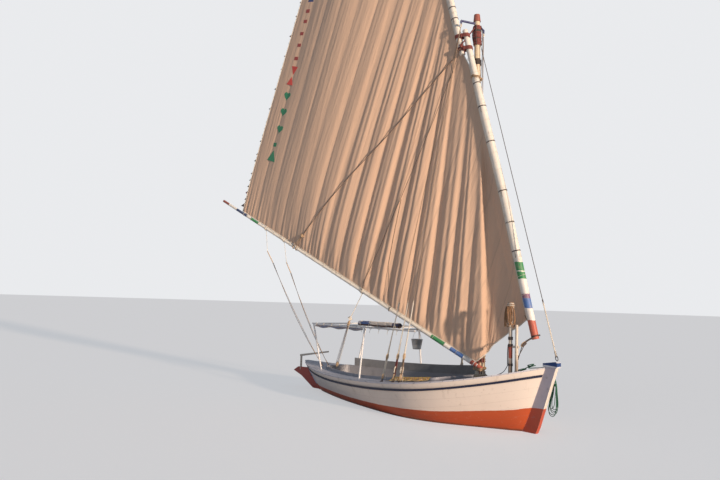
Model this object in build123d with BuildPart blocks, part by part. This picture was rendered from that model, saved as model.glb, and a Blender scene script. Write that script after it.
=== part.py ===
"""A felucca: a small decked river boat with one mast and a lateen sail.

Frame: millimetres, +X towards the bow, +Y to port, +Z up.
The origin is on the centreline, at the waterline, midway between stem and sternpost.
"""
from build123d import *

import os
from math import cos, radians, sin, sqrt, tan

os.makedirs("parts", exist_ok=True)

# Clearances, and a reach past the whole boat for the blocks that cut it
SEAT_GAP = 0.3
BEYOND = 6000

# Hull stations from stern to stem. x: place on the waterline; border: half-beam and height
# of the paint line; rail: half-beam and height of the rub rail; keel: height of the bottom.
STATIONS = [
    # x, border half-beam, border height, rail half-beam, rail height, keel
    (-3750, 55, 160, 62, 700, -250),
    (-3150, 385, 160, 590, 612, -400),
    (-2350, 700, 170, 990, 570, -480),
    (-900, 1120, 190, 1375, 580, -500),
    (1000, 1450, 250, 1650, 690, -500),
    (2200, 1270, 310, 1500, 820, -460),
    (3150, 760, 420, 980, 1020, -360),
    (3720, 340, 500, 440, 1200, -220),
    (3930, 55, 560, 62, 1300, -120),
]
# Lean of each section's plane, forward at the top, and slope of the bottom at the keel
SECTION_RAKES = [-47, -32, -14, 0, 0, 5, 12, 18, 21]
DEADRISE_ANGLES = [80, 42, 25, 10, 4, 10, 28, 50, 83]
STEM_X = STATIONS[-1][0]
STEM_RAKE = SECTION_RAKES[-1]
STERN_X = STATIONS[0][0]
STERN_RAKE = SECTION_RAKES[0]
TOP_MARGIN = 300

# Sheer line of the deck edge, as two arcs that meet in a tangent
SHEER_LOW_X = -1900
SHEER_LOW_Z = 700
SHEER_AFT_RADIUS = 33500
SHEER_JOIN_X = 1500
SHEER_FWD_RADIUS = 16500

DECK_THICKNESS = 30
RAIL_DEPTH = 52
RAIL_BELOW_DECK = 120
RAIL_PROUD = 32

# Centreline timber: stem plate, keel and sternpost in one plate
SPINE_THICKNESS = 110
KEEL_DEPTH = -620
FOREFOOT_X = 3500
STEM_HEAD_X = 4765
STEM_HEAD_RISE = 28
STEM_FRONT_LOW = (4330, 200)
STEM_TIP = 40
FOREFOOT_RISE = 40
STERNPOST_WIDTH = 90
STERNPOST_HEAD = 60
SPINE_INSIDE = [(STERN_X + 120, 0), (STERN_X + 600, -200), (STEM_X - 500, -200),
                (STEM_X - 60, 0)]

# Stemhead cap, seen from the side, from its aft end round by the foot
CAP_WIDTH = 150
CAP_AFT_X = 4440
CAP_OVERHANG = 40
CAP_HEIGHTS = (75, 105, 130)
CAP_NOSE = 35

# Cockpit
WELL_AFT_X = -3050
WELL_AFT_HALF = 450
WELL_MID_X = -400
WELL_MID_HALF = 1040
WELL_FWD_X = 1950
WELL_FWD_HALF = 880
WELL_CORNER = 150
WELL_STEP_X = -1400
WELL_BOTTOM = 120
LINER_THICKNESS = 30
COAMING_RISE = 80
BACK_RISE = 345
BACK_ENDS = (-2800, 1800)
SOLE_THICKNESS = 35
BENCH_WIDTH = 420
BENCH_TOP = 560
BENCH_THICKNESS = 30
BENCH_FWD_X = 1350

# Mast
MAST_X = 2652
MAST_RAKE = -1.7
MAST_HEEL = 60
MAST_TOP = 10150
MAST_FOOT_RADIUS = 105
MAST_TOP_RADIUS = 74
MAST_BORE_GAP = 0.5
COLLAR_WIDTH = 60
COLLAR_HEIGHT = 70
COLLAR_SINK = 60
TRUCK_HEIGHT = 190
TRUCK_RADIUS = 95
TRUCK_TAPER = 20

# Rig: the sail's plane turns about the mast. Along: distance aft of the mast axis in that
# plane. Side: distance of a spar from the mast axis, to starboard.
SAIL_ANGLE = 16
YARD_SIDE = 205
BOOM_SIDE = 185
SAIL_SIDE = 165
SAIL_THICKNESS = 14
LOWER_YARD = [
    # along, height, radius
    (-1462, 2080, 88),
    (-772, 5380, 100),
    (-205, 7790, 96),
    (250, 9900, 68),
]
UPPER_YARD = [
    # along, height, radius
    (320, 9250, 76),
    (465, 9950, 83),
    (660, 10820, 88),
    (1175, 12650, 82),
    (1790, 14600, 72),
    (2490, 16900, 55),
    (3190, 19200, 36),
]
BOOM_HEEL = (-120, 1290)
BOOM_END = (8828, 5933)
BOOM_HEEL_RADIUS = 55
BOOM_END_RADIUS = 38
LASHING_HEIGHTS = [9400, 9750]
LASHING_DEPTH = 110
LASHING_RADIUS = 70
LASHING_THICKNESS = 26
PARREL_HEIGHT = 8600
GROMMET_HEIGHT = 1290
RING_GAP = 0.5
RING_WALL = 48
RING_DEPTH = 70

# Sail outline in its plane
SAIL_THROAT = (-1320, 2780)
SAIL_HEAD = [(-772, 5380), (-205, 7790), (100, 9200), (300, 9260), (640, 10820), (1780, 14600)]
SAIL_PEAK = (3170, 19100)
SAIL_LEECH_MID = (5690, 11900)
SAIL_CLEW = (7985, 5510)
SAIL_TACK = (-230, 1780)
SAIL_FREE_MID = (-700, 2170)

# Standing rigging
STAY_RADIUS = 9
SHROUD_RADIUS = 11
ARM_REACH = (-150, 450)
ARM_HEIGHT = MAST_TOP - 60
ARM_RADIUS = 28
EYE_RADIUS = 24
EYE_DROP = 80
THIMBLE_LENGTH = 70
THIMBLE_RADIUS = 30
LANYARD_RADIUS = 16
DECK_EYE_RADIUS = 34
FORESTAY_TOP = MAST_TOP - 250
FORESTAY_FOOT_SINK = 25
SHROUD_FEET = [
    # x, distance from the centreline
    (700, 1500),
    (1120, 1510),
    (1350, 1500),
]
SHROUD_BLOCK_HEIGHT = 560
BLOCK_LENGTH = 150
BLOCK_RADIUS = 48
LANYARD_SINK = 20
DECK_EYE_HEIGHT = 40
DECK_EYE_SINK = 60

# Foredeck posts and their cross bar. Above the bar each post is turned to its radius, below
# it is thicker.
POSTS = [
    # x, y, top, radius
    (3730, -300, 2900, 42),
    (3900, -300, 2400, 34),
]
POST_FOOT_SWELL = 5
POST_BAR_HEIGHT = 1900
POST_BAR_RADIUS = 26
POST_BAR_END = 60
POST_STEP_HEIGHT = POST_BAR_HEIGHT + 60

# Awning frame over the cockpit
AWNING_AFT_X = -2900
AWNING_FWD_X = 1380
AWNING_BAR_END = 60
AWNING_FOOT_SINK = 40
AWNING_HEIGHT = 2120
AWNING_HALF = 1050
AWNING_FEET = [
    # x, distance from the centreline
    (-2900, 690),
    (-550, 1200),
]
AWNING_CROSSBARS = [-2900, -1725, -550, 520]
TUBE_RADIUS = 21
AWNING_POST_RADIUS = 24
CROSSBAR_RADIUS = 18
AWNING_ROLL = (-750, 840)
AWNING_ROLL_RADIUS = 85
AWNING_CLOTH = (-2800, -620)
AWNING_CLOTH_DROP = 170
AWNING_CLOTH_THICKNESS = 70

# Rudder and tiller
RUDDER_THICKNESS = 60
RUDDER_GAP = 6
RUDDER_OUTLINE = [(-5090, 590), (-5330, 460), (-4890, 330), (-4210, 0), (-4130, -560)]
RUDDER_FOOT_Z = -610
RUDDER_HEAD = 20
TILLER_POST = [(-4960, 500), (-4960, 1000)]
TILLER_END = (-3500, 1200)
TILLER_RADIUS = 34
TILLER_END_RADIUS = 24
TILLER_ROOT = (40, 30)
GUDGEON_HEIGHTS = [-330, 380]
GUDGEON_RADIUS = 28
GUDGEON_LENGTH = 44
PINTLE_RADIUS = 12
PINTLE_GAP = 0.4


def sheer(x):
    """Height of the deck edge at x."""
    def aft(along):
        reach = along - SHEER_LOW_X
        return SHEER_LOW_Z + SHEER_AFT_RADIUS - sqrt(SHEER_AFT_RADIUS ** 2 - reach ** 2)

    if x <= SHEER_JOIN_X:
        return aft(x)
    lean = (SHEER_JOIN_X - SHEER_LOW_X) / SHEER_AFT_RADIUS
    centre_x = SHEER_JOIN_X - SHEER_FWD_RADIUS * lean
    centre_z = aft(SHEER_JOIN_X) + SHEER_FWD_RADIUS * sqrt(1 - lean ** 2)
    return centre_z - sqrt(SHEER_FWD_RADIUS ** 2 - (x - centre_x) ** 2)


def band(low, high):
    """A slab across the boat that follows the sheer, from low to high above it."""
    ends = (-BEYOND, BEYOND)
    middle_aft = (ends[0] + SHEER_JOIN_X) / 2
    middle_fwd = (ends[1] + SHEER_JOIN_X) / 2
    with BuildPart() as slab:
        with BuildSketch(Plane.XZ.offset(-BEYOND / 2)):
            with BuildLine():
                for offset in (low, high):
                    for a, m, b in ((ends[0], middle_aft, SHEER_JOIN_X),
                                    (SHEER_JOIN_X, middle_fwd, ends[1])):
                        ThreePointArc((a, sheer(a) + offset), (m, sheer(m) + offset),
                                      (b, sheer(b) + offset))
                for x in ends:
                    Line((x, sheer(x) + low), (x, sheer(x) + high))
            make_face()
        extrude(amount=BEYOND)
    return slab.part


def hull_form(grow=0):
    """The hull's outer form, carried past the deck, with its sides grown outwards."""
    with BuildPart() as form:
        for station, rake, deadrise in zip(STATIONS, SECTION_RAKES, DEADRISE_ANGLES):
            x, border, border_z, rail, rail_z, keel = station
            plane = Plane(origin=(x, 0, 0), x_dir=(0, 1, 0),
                          z_dir=(cos(radians(rake)), 0, -sin(radians(rake))))
            stretch = 1 / cos(radians(rake))
            flare = (rail - border) / (rail_z - border_z)
            top = rail + flare * TOP_MARGIN + grow
            top_v = (rail_z + TOP_MARGIN) * stretch
            side = border + grow
            side_v = border_z * stretch
            keel_v = keel * stretch
            slope = (cos(radians(deadrise)), sin(radians(deadrise)))
            with BuildSketch(plane):
                with BuildLine():
                    TangentArc((0, keel_v), (side, side_v), tangent=slope)
                    Line((side, side_v), (top, top_v))
                    Line((top, top_v), (-top, top_v))
                    Line((-top, top_v), (-side, side_v))
                    TangentArc((0, keel_v), (-side, side_v), tangent=(-slope[0], slope[1]))
                make_face()
        loft()
    return form.part


def well_prism(bottom, inset=0, aft=-BEYOND, top=BEYOND):
    """The cockpit's plan as a prism, shrunk by inset and cut off aft of a given x."""
    with BuildPart() as prism:
        with BuildSketch(Plane.XY.offset(bottom)) as plan:
            with BuildLine():
                for s in (1, -1):
                    ThreePointArc((WELL_AFT_X, s * WELL_AFT_HALF),
                                  (WELL_MID_X, s * WELL_MID_HALF),
                                  (WELL_FWD_X, s * WELL_FWD_HALF))
                for x, half in ((WELL_AFT_X, WELL_AFT_HALF), (WELL_FWD_X, WELL_FWD_HALF)):
                    Line((x, -half), (x, half))
            make_face()
            fillet(plan.vertices(), WELL_CORNER)
            if inset:
                offset(amount=-inset, kind=Kind.INTERSECTION)
        extrude(amount=top - bottom)
        with Locations((aft, 0, 0)):
            Box(BEYOND, BEYOND, 3 * BEYOND, align=(Align.MAX, Align.CENTER, Align.CENTER),
                mode=Mode.SUBTRACT)
    return prism.part


def mast_point(height):
    """Place of the mast's axis at a height."""
    return Vector(MAST_X + height * tan(radians(MAST_RAKE)), 0, height)


def mast_radius(height):
    """Radius of the mast at a height."""
    share = (height - MAST_HEEL) / (MAST_TOP - MAST_HEEL)
    return MAST_FOOT_RADIUS + share * (MAST_TOP_RADIUS - MAST_FOOT_RADIUS)


def rig_point(along, height, side):
    """Place of a point of the rig, given in the sail's plane."""
    turn = radians(SAIL_ANGLE)
    axis = mast_point(height)
    return Vector(axis.X - along * cos(turn) + side * sin(turn),
                  -along * sin(turn) - side * cos(turn), height)


def rod(start, end, radius, end_radius=None):
    """A round bar between two points, tapered if an end radius is given."""
    start = Vector(*start)
    end = Vector(*end)
    plane = Plane(origin=start, z_dir=end - start)
    with BuildPart() as bar:
        with BuildSketch(plane):
            Circle(radius)
        if end_radius is None:
            extrude(amount=(end - start).length)
        else:
            with BuildSketch(plane.offset((end - start).length)):
                Circle(end_radius)
            loft()
    return bar.part


def spar(table, side):
    """A gently bent, tapered spar through the table's sections."""
    points = [rig_point(along, height, side) for along, height, radius in table]
    with BuildPart() as pole:
        for i, (point, row) in enumerate(zip(points, table)):
            before = points[max(i - 1, 0)]
            after = points[min(i + 1, len(points) - 1)]
            with BuildSketch(Plane(origin=point, x_dir=(0, 1, 0), z_dir=after - before)):
                Circle(row[2])
        loft(ruled=True)
    return pole.part


def spar_along(table, height):
    """Distance of a spar's axis aft of the mast at a height, between the table's rows."""
    for (low, low_z, _), (high, high_z, _) in zip(table, table[1:]):
        if height <= high_z:
            return low + (high - low) * (height - low_z) / (high_z - low_z)
    return high


def save(part, name):
    """Label a finished piece and write it."""
    part.label = name
    export_step(part, f"parts/{name}.step")


outer = hull_form()
below_deck = band(-BEYOND, 0)

# Hull, decked and cut out for the cockpit and the mast
mast_bore = rod(mast_point(MAST_HEEL), mast_point(BOOM_HEEL[1]), MAST_FOOT_RADIUS + MAST_BORE_GAP)
with BuildPart() as hull:
    add(outer)
    add(below_deck, mode=Mode.INTERSECT)
    add(well_prism(WELL_BOTTOM, aft=WELL_STEP_X), mode=Mode.SUBTRACT)
    add(well_prism(BENCH_TOP - BENCH_THICKNESS), mode=Mode.SUBTRACT)
    add(mast_bore, mode=Mode.SUBTRACT)
save(hull.part, "hull")

# Deck
with BuildPart() as deck:
    add(outer)
    add(band(0, DECK_THICKNESS), mode=Mode.INTERSECT)
    add(well_prism(0), mode=Mode.SUBTRACT)
    add(mast_bore, mode=Mode.SUBTRACT)
save(deck.part, "deck")

# Rub rails
with BuildPart() as rub_rails:
    add(hull_form(grow=RAIL_PROUD))
    add(band(-RAIL_BELOW_DECK - RAIL_DEPTH, -RAIL_BELOW_DECK), mode=Mode.INTERSECT)
    add(outer, mode=Mode.SUBTRACT)
save(rub_rails.part, "rub_rails")

# Stem plate, keel and sternpost
stem_slope = tan(radians(STEM_RAKE))
stern_slope = tan(radians(STERN_RAKE))
stern_top = sheer(STERN_X) + DECK_THICKNESS
stem_top = sheer(CAP_AFT_X) + DECK_THICKNESS + STEM_HEAD_RISE
with BuildPart() as spine:
    with BuildSketch(Plane.XZ.offset(-SPINE_THICKNESS / 2)):
        with BuildLine():
            stem_head = (STEM_X + stem_slope * stem_top - STEM_TIP, stem_top)
            forefoot = (FOREFOOT_X, KEEL_DEPTH + FOREFOOT_RISE)
            post_x = STERN_X - STERNPOST_WIDTH
            stem_nose = (STEM_HEAD_X, stem_top)
            Line(stem_head, stem_nose)
            Line(stem_nose, STEM_FRONT_LOW)
            TangentArc(STEM_FRONT_LOW, forefoot,
                       tangent=(STEM_FRONT_LOW[0] - STEM_HEAD_X, STEM_FRONT_LOW[1] - stem_top))
            Polyline(forefoot,
                     (post_x + stern_slope * KEEL_DEPTH, KEEL_DEPTH),
                     (post_x + stern_slope * stern_top, stern_top),
                     (STERN_X + STERNPOST_HEAD + stern_slope * stern_top, stern_top),
                     *SPINE_INSIDE, stem_head)
        make_face()
    extrude(amount=SPINE_THICKNESS)
    add(outer, mode=Mode.SUBTRACT)
save(spine.part, "keel_and_stem")

# Stemhead cap
with BuildPart() as cap:
    with BuildSketch(Plane.XZ.offset(-CAP_WIDTH / 2)):
        with BuildLine():
            cap_foot = stem_top + SEAT_GAP
            cap_fwd_x = STEM_HEAD_X + CAP_OVERHANG
            aft_top, nose_top, head_top = (cap_foot + height for height in CAP_HEIGHTS)
            Polyline((CAP_AFT_X, cap_foot), (cap_fwd_x, cap_foot), (cap_fwd_x, nose_top),
                     (cap_fwd_x - CAP_NOSE, head_top), (CAP_AFT_X, aft_top), (CAP_AFT_X, cap_foot))
        make_face()
    extrude(amount=CAP_WIDTH)
save(cap.part, "stemhead_cap")

# Cockpit liner, which stands above the deck as a coaming
with BuildPart() as coaming:
    add(well_prism(WELL_BOTTOM, aft=WELL_STEP_X))
    add(well_prism(BENCH_TOP - BENCH_THICKNESS))
    add(well_prism(0, inset=LINER_THICKNESS), mode=Mode.SUBTRACT)
    add(band(-BEYOND, DECK_THICKNESS + COAMING_RISE), mode=Mode.INTERSECT)
save(coaming.part, "coaming")

# Seat back, a board on the port coaming
with BuildPart() as seat_back:
    add(well_prism(0))
    add(well_prism(0, inset=LINER_THICKNESS), mode=Mode.SUBTRACT)
    add(band(DECK_THICKNESS + COAMING_RISE + SEAT_GAP, BACK_RISE), mode=Mode.INTERSECT)
    with Locations((BACK_ENDS[0], 0, 0)):
        Box(BACK_ENDS[1] - BACK_ENDS[0], BEYOND, BEYOND, align=(Align.MIN, Align.MIN, Align.CENTER),
            mode=Mode.INTERSECT)
save(seat_back.part, "seat_back")

# Cockpit floor
with BuildPart() as sole:
    add(well_prism(WELL_BOTTOM, inset=LINER_THICKNESS, aft=WELL_STEP_X,
                   top=WELL_BOTTOM + SOLE_THICKNESS))
save(sole.part, "sole")

# Benches and stern platform
SEAT_BOTTOM = BENCH_TOP - BENCH_THICKNESS
SOLE_TOP = WELL_BOTTOM + SOLE_THICKNESS
with BuildPart() as under_seat_space:
    add(well_prism(0, top=SEAT_BOTTOM))
    add(well_prism(0, inset=LINER_THICKNESS + BENCH_WIDTH - BENCH_THICKNESS), mode=Mode.SUBTRACT)
under_seat = under_seat_space.part
for side, name in ((1, "bench_port"), (-1, "bench_starboard")):
    with BuildPart() as bench:
        add(well_prism(SOLE_TOP, inset=LINER_THICKNESS, aft=WELL_STEP_X + BENCH_THICKNESS,
                       top=BENCH_TOP))
        add(well_prism(0, inset=LINER_THICKNESS + BENCH_WIDTH), mode=Mode.SUBTRACT)
        add(under_seat, mode=Mode.SUBTRACT)
        with Locations((BENCH_FWD_X, 0, 0)):
            Box(BEYOND, BEYOND, BEYOND, align=(Align.MIN, Align.CENTER, Align.CENTER),
                mode=Mode.SUBTRACT)
        with Locations((0, -side * BEYOND / 2, 0)):
            Box(2 * BEYOND, BEYOND, BEYOND, mode=Mode.SUBTRACT)
    save(bench.part, name)
with BuildPart() as platform:
    add(well_prism(SEAT_BOTTOM, inset=LINER_THICKNESS, top=BENCH_TOP))
    with Locations((WELL_STEP_X, 0, 0)):
        Box(BEYOND, BEYOND, BEYOND, align=(Align.MIN, Align.CENTER, Align.CENTER),
            mode=Mode.SUBTRACT)
save(platform.part, "stern_platform")

# Mast with its deck collar
with BuildPart() as mast:
    add(rod(mast_point(MAST_HEEL), mast_point(MAST_TOP), MAST_FOOT_RADIUS, MAST_TOP_RADIUS))
save(mast.part, "mast")
with BuildPart() as truck:
    add(rod(mast_point(MAST_TOP), mast_point(MAST_TOP + TRUCK_HEIGHT), TRUCK_RADIUS,
            TRUCK_RADIUS - TRUCK_TAPER))
save(truck.part, "mast_truck")

# Spars
with BuildPart() as yard_lower:
    add(spar(LOWER_YARD, YARD_SIDE))
save(yard_lower.part, "yard_lower")
with BuildPart() as yard_upper:
    add(spar(UPPER_YARD, YARD_SIDE))
save(yard_upper.part, "yard_upper")
with BuildPart() as boom:
    add(rod(rig_point(*BOOM_HEEL, BOOM_SIDE), rig_point(*BOOM_END, BOOM_SIDE),
            BOOM_HEEL_RADIUS, BOOM_END_RADIUS))
save(boom.part, "boom")

# Sail, cut out round the spars that it is laced to
inner_face = SAIL_SIDE - SAIL_THICKNESS / 2
sail_origin = rig_point(0, 0, inner_face)
sail_along = rig_point(1000, 0, inner_face) - sail_origin
sail_up = rig_point(0, 1000, inner_face) - sail_origin
sail_plane = Plane(origin=sail_origin, x_dir=sail_along, z_dir=sail_up.cross(sail_along))


def on_sail(corner):
    """A point of the sail's outline in the sketch of its inner face."""
    return sail_plane.to_local_coords(rig_point(*corner, inner_face))


with BuildPart() as sail:
    with BuildSketch(sail_plane):
        with BuildLine():
            Polyline(on_sail(SAIL_THROAT), *(on_sail(corner) for corner in SAIL_HEAD),
                     on_sail(SAIL_PEAK))
            ThreePointArc(on_sail(SAIL_PEAK), on_sail(SAIL_LEECH_MID), on_sail(SAIL_CLEW))
            Polyline(on_sail(SAIL_CLEW), on_sail(BOOM_HEEL), on_sail(SAIL_TACK))
            ThreePointArc(on_sail(SAIL_TACK), on_sail(SAIL_FREE_MID), on_sail(SAIL_THROAT))
        make_face()
    extrude(amount=SAIL_THICKNESS)
    for pole in (yard_lower, yard_upper, boom):
        add(pole.part, mode=Mode.SUBTRACT)
save(sail.part, "sail")

# Lashings that hold the two spars of the yard together
with BuildPart() as lashings:
    for height in LASHING_HEIGHTS:
        low = rig_point(spar_along(LOWER_YARD, height), height, YARD_SIDE)
        high = rig_point(spar_along(UPPER_YARD, height), height, YARD_SIDE)
        reach = (high - low).length
        with BuildSketch(Plane(origin=(low + high) / 2, x_dir=high - low,
                               z_dir=mast_point(1) - mast_point(0))) as ring:
            SlotCenterToCenter(reach, 2 * (LASHING_RADIUS + LASHING_THICKNESS))
            SlotCenterToCenter(reach, 2 * LASHING_RADIUS, mode=Mode.SUBTRACT)
        extrude(amount=LASHING_DEPTH)
    for piece in (yard_lower, yard_upper, sail):
        add(piece.part, mode=Mode.SUBTRACT)
save(lashings.part, "yard_lashings")

# Rings that hold the yard and the boom's heel to the mast, and turn on it
for height, pole, name in ((PARREL_HEIGHT, yard_lower, "yard_parrel"),
                           (GROMMET_HEIGHT, boom, "boom_grommet")):
    with BuildPart() as ring:
        bore = mast_radius(height) + RING_GAP
        low = mast_point(height - RING_DEPTH / 2)
        high = mast_point(height + RING_DEPTH / 2)
        add(rod(low, high, bore + RING_WALL))
        add(rod(low, high, bore), mode=Mode.SUBTRACT)
        add(pole.part, mode=Mode.SUBTRACT)
        add(sail.part, mode=Mode.SUBTRACT)
    save(ring.part, name)

# Masthead arm that spreads the shrouds, with an eye at each end
with BuildPart() as arm:
    for side in (1, -1):
        root = mast_point(ARM_HEIGHT)
        tip = Vector(root.X + ARM_REACH[0], side * ARM_REACH[1], ARM_HEIGHT)
        add(rod(root, tip, ARM_RADIUS))
        with BuildSketch(Plane.XY.offset(ARM_HEIGHT - EYE_DROP)):
            with Locations((tip.X, tip.Y)):
                Circle(EYE_RADIUS)
        extrude(amount=EYE_DROP)
    add(mast.part, mode=Mode.SUBTRACT)
save(arm.part, "masthead_arm")

# Shrouds with their blocks and deck eyes
on_deck = band(-BEYOND, DECK_THICKNESS)
for side, name in ((1, "shrouds_port"), (-1, "shrouds_starboard")):
    with BuildPart() as shrouds:
        root = mast_point(ARM_HEIGHT)
        top = Vector(root.X + ARM_REACH[0], side * ARM_REACH[1], ARM_HEIGHT - EYE_DROP)
        add(rod(top - Vector(0, 0, THIMBLE_LENGTH), top, THIMBLE_RADIUS))
        for x, half in SHROUD_FEET:
            foot = Vector(x, side * half, sheer(x) + DECK_THICKNESS)
            start = top - Vector(0, 0, THIMBLE_LENGTH / 2)
            line = (start - foot).normalized()
            add(rod(foot - line * LANYARD_SINK, start, SHROUD_RADIUS))
            block = foot + line * SHROUD_BLOCK_HEIGHT
            add(rod(block, block + line * BLOCK_LENGTH, BLOCK_RADIUS))
            add(rod(foot - line * DECK_EYE_SINK, foot + line * DECK_EYE_HEIGHT, DECK_EYE_RADIUS))
            add(rod(foot, block, LANYARD_RADIUS))
        add(on_deck, mode=Mode.SUBTRACT)
    save(shrouds.part, name)

# Forestay from the masthead to the stemhead cap
with BuildPart() as forestay:
    foot = Vector(cap_fwd_x - CAP_NOSE, 0, head_top - FORESTAY_FOOT_SINK)
    add(rod(mast_point(FORESTAY_TOP), foot, STAY_RADIUS))
    add(mast.part, mode=Mode.SUBTRACT)
    add(cap.part, mode=Mode.SUBTRACT)
save(forestay.part, "forestay")

# Mast collar on the deck
with BuildPart() as collar:
    deck_at_mast = sheer(MAST_X)
    add(rod(mast_point(deck_at_mast - COLLAR_SINK),
            mast_point(deck_at_mast + DECK_THICKNESS + COLLAR_HEIGHT),
            MAST_FOOT_RADIUS + COLLAR_WIDTH))
    add(mast_bore, mode=Mode.SUBTRACT)
    add(on_deck, mode=Mode.SUBTRACT)
save(collar.part, "mast_collar")

# Foredeck posts
with BuildPart() as posts:
    for x, y, top, radius in POSTS:
        add(rod((x, y, sheer(x)), (x, y, POST_STEP_HEIGHT), radius + POST_FOOT_SWELL))
        add(rod((x, y, POST_STEP_HEIGHT), (x, y, top), radius))
    (first_x, first_y, _, _), (second_x, second_y, _, _) = POSTS
    add(rod((first_x - POST_BAR_END, first_y, POST_BAR_HEIGHT),
            (second_x + POST_BAR_END, second_y, POST_BAR_HEIGHT), POST_BAR_RADIUS))
    add(on_deck, mode=Mode.SUBTRACT)
save(posts.part, "foredeck_posts")

# Awning frame, standing on the side decks
with BuildPart() as awning:
    for side in (1, -1):
        add(rod((AWNING_AFT_X - AWNING_BAR_END, side * AWNING_HALF, AWNING_HEIGHT),
                (AWNING_FWD_X, side * AWNING_HALF, AWNING_HEIGHT), TUBE_RADIUS))
        for x, half in AWNING_FEET:
            add(rod((x, side * half, sheer(x) - AWNING_FOOT_SINK),
                    (x, side * AWNING_HALF, AWNING_HEIGHT), AWNING_POST_RADIUS))
    for x in AWNING_CROSSBARS:
        add(rod((x, -AWNING_HALF, AWNING_HEIGHT), (x, AWNING_HALF, AWNING_HEIGHT),
                CROSSBAR_RADIUS))
    add(on_deck, mode=Mode.SUBTRACT)
save(awning.part, "awning_frame")

# Awning, rolled up on the starboard bar and gathered below it
with BuildPart() as roll:
    roll_height = AWNING_HEIGHT + TUBE_RADIUS + AWNING_ROLL_RADIUS + SEAT_GAP
    add(rod((AWNING_ROLL[0], -AWNING_HALF, roll_height), (AWNING_ROLL[1], -AWNING_HALF, roll_height),
            AWNING_ROLL_RADIUS))
save(roll.part, "awning_roll")
with BuildPart() as cloth:
    length = AWNING_CLOTH[1] - AWNING_CLOTH[0]
    cloth_top = AWNING_HEIGHT - TUBE_RADIUS - SEAT_GAP
    with Locations((AWNING_CLOTH[0] + length / 2, -AWNING_HALF, cloth_top - AWNING_CLOTH_DROP / 2)):
        Box(length, AWNING_CLOTH_THICKNESS, AWNING_CLOTH_DROP)
    fillet(cloth.edges().filter_by(Axis.X), AWNING_CLOTH_THICKNESS / 3)
save(cloth.part, "awning_cloth")

# Rudder: the blade turns on pintles, on an axis parallel to the sternpost
stern_lean = radians(STERN_RAKE)
post_face = STERN_X - STERNPOST_WIDTH / cos(stern_lean)
axis_x = post_face - (RUDDER_THICKNESS / 2 + RUDDER_GAP) / cos(stern_lean)


def hinge_point(height):
    """Place of the rudder's axis at a height."""
    return Vector(axis_x + height * tan(stern_lean), 0, height)


def along_hinge(height, low, high, radius):
    """A round piece on the rudder's axis, from low to high along it from a height."""
    step = (hinge_point(1000) - hinge_point(0)).normalized()
    return rod(hinge_point(height) + step * low, hinge_point(height) + step * high, radius)


head_z = RUDDER_OUTLINE[0][1] + RUDDER_HEAD
hinge_length = (hinge_point(head_z) - hinge_point(RUDDER_FOOT_Z)).length
with BuildPart() as rudder:
    with BuildSketch(Plane.XZ.offset(-RUDDER_THICKNESS / 2)):
        with BuildLine():
            top = hinge_point(head_z)
            foot = hinge_point(RUDDER_FOOT_Z)
            Polyline((top.X, top.Z), *RUDDER_OUTLINE, (foot.X, foot.Z), (top.X, top.Z))
        make_face()
    extrude(amount=RUDDER_THICKNESS)
    add(along_hinge(RUDDER_FOOT_Z, 0, hinge_length, RUDDER_THICKNESS / 2))
    for height in GUDGEON_HEIGHTS:
        add(along_hinge(height, -GUDGEON_LENGTH / 2 - RUDDER_GAP, GUDGEON_LENGTH / 2 + RUDDER_GAP,
                        GUDGEON_RADIUS + RUDDER_GAP), mode=Mode.SUBTRACT)
        add(along_hinge(height, -GUDGEON_LENGTH, GUDGEON_LENGTH, PINTLE_RADIUS))
save(rudder.part, "rudder")

# Gudgeons on the sternpost
with BuildPart() as gudgeons:
    for height in GUDGEON_HEIGHTS:
        half = GUDGEON_LENGTH / 2
        add(along_hinge(height, -half, half, GUDGEON_RADIUS))
        reach = GUDGEON_RADIUS + RUDDER_GAP
        step = (hinge_point(1000) - hinge_point(0)).normalized()
        lug_plane = Plane(origin=hinge_point(height) - step * half, x_dir=(step.Z, 0, -step.X),
                          z_dir=step)
        with BuildSketch(lug_plane):
            with Locations((reach, 0)):
                Rectangle(2 * reach, GUDGEON_RADIUS)
        extrude(amount=GUDGEON_LENGTH)
        add(along_hinge(height, -GUDGEON_LENGTH, GUDGEON_LENGTH, PINTLE_RADIUS + PINTLE_GAP),
            mode=Mode.SUBTRACT)
    add(spine.part, mode=Mode.SUBTRACT)
    add(hull.part, mode=Mode.SUBTRACT)
save(gudgeons.part, "gudgeons")

# Tiller, let down onto the rudder's head
with BuildPart() as tiller:
    (post_bottom, post_top) = TILLER_POST
    add(rod((post_bottom[0], 0, post_bottom[1]), (post_top[0], 0, post_top[1]), TILLER_RADIUS))
    add(rod((post_top[0] - TILLER_ROOT[0], 0, post_top[1] - TILLER_ROOT[1]),
            (TILLER_END[0], 0, TILLER_END[1]), TILLER_RADIUS, TILLER_END_RADIUS))
    add(rudder.part, mode=Mode.SUBTRACT)
save(tiller.part, "tiller")
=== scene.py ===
"""A felucca afloat, dressed around its packed construction.

Metres: +X towards the bow, +Y to port, +Z up, and the water's surface at z = 0.
"""
from math import atan, cos, exp, pi, radians, sin, sqrt, tan

import bpy
from mathutils import Matrix, Vector
from mathutils.bvhtree import BVHTree
import numpy as np


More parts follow.
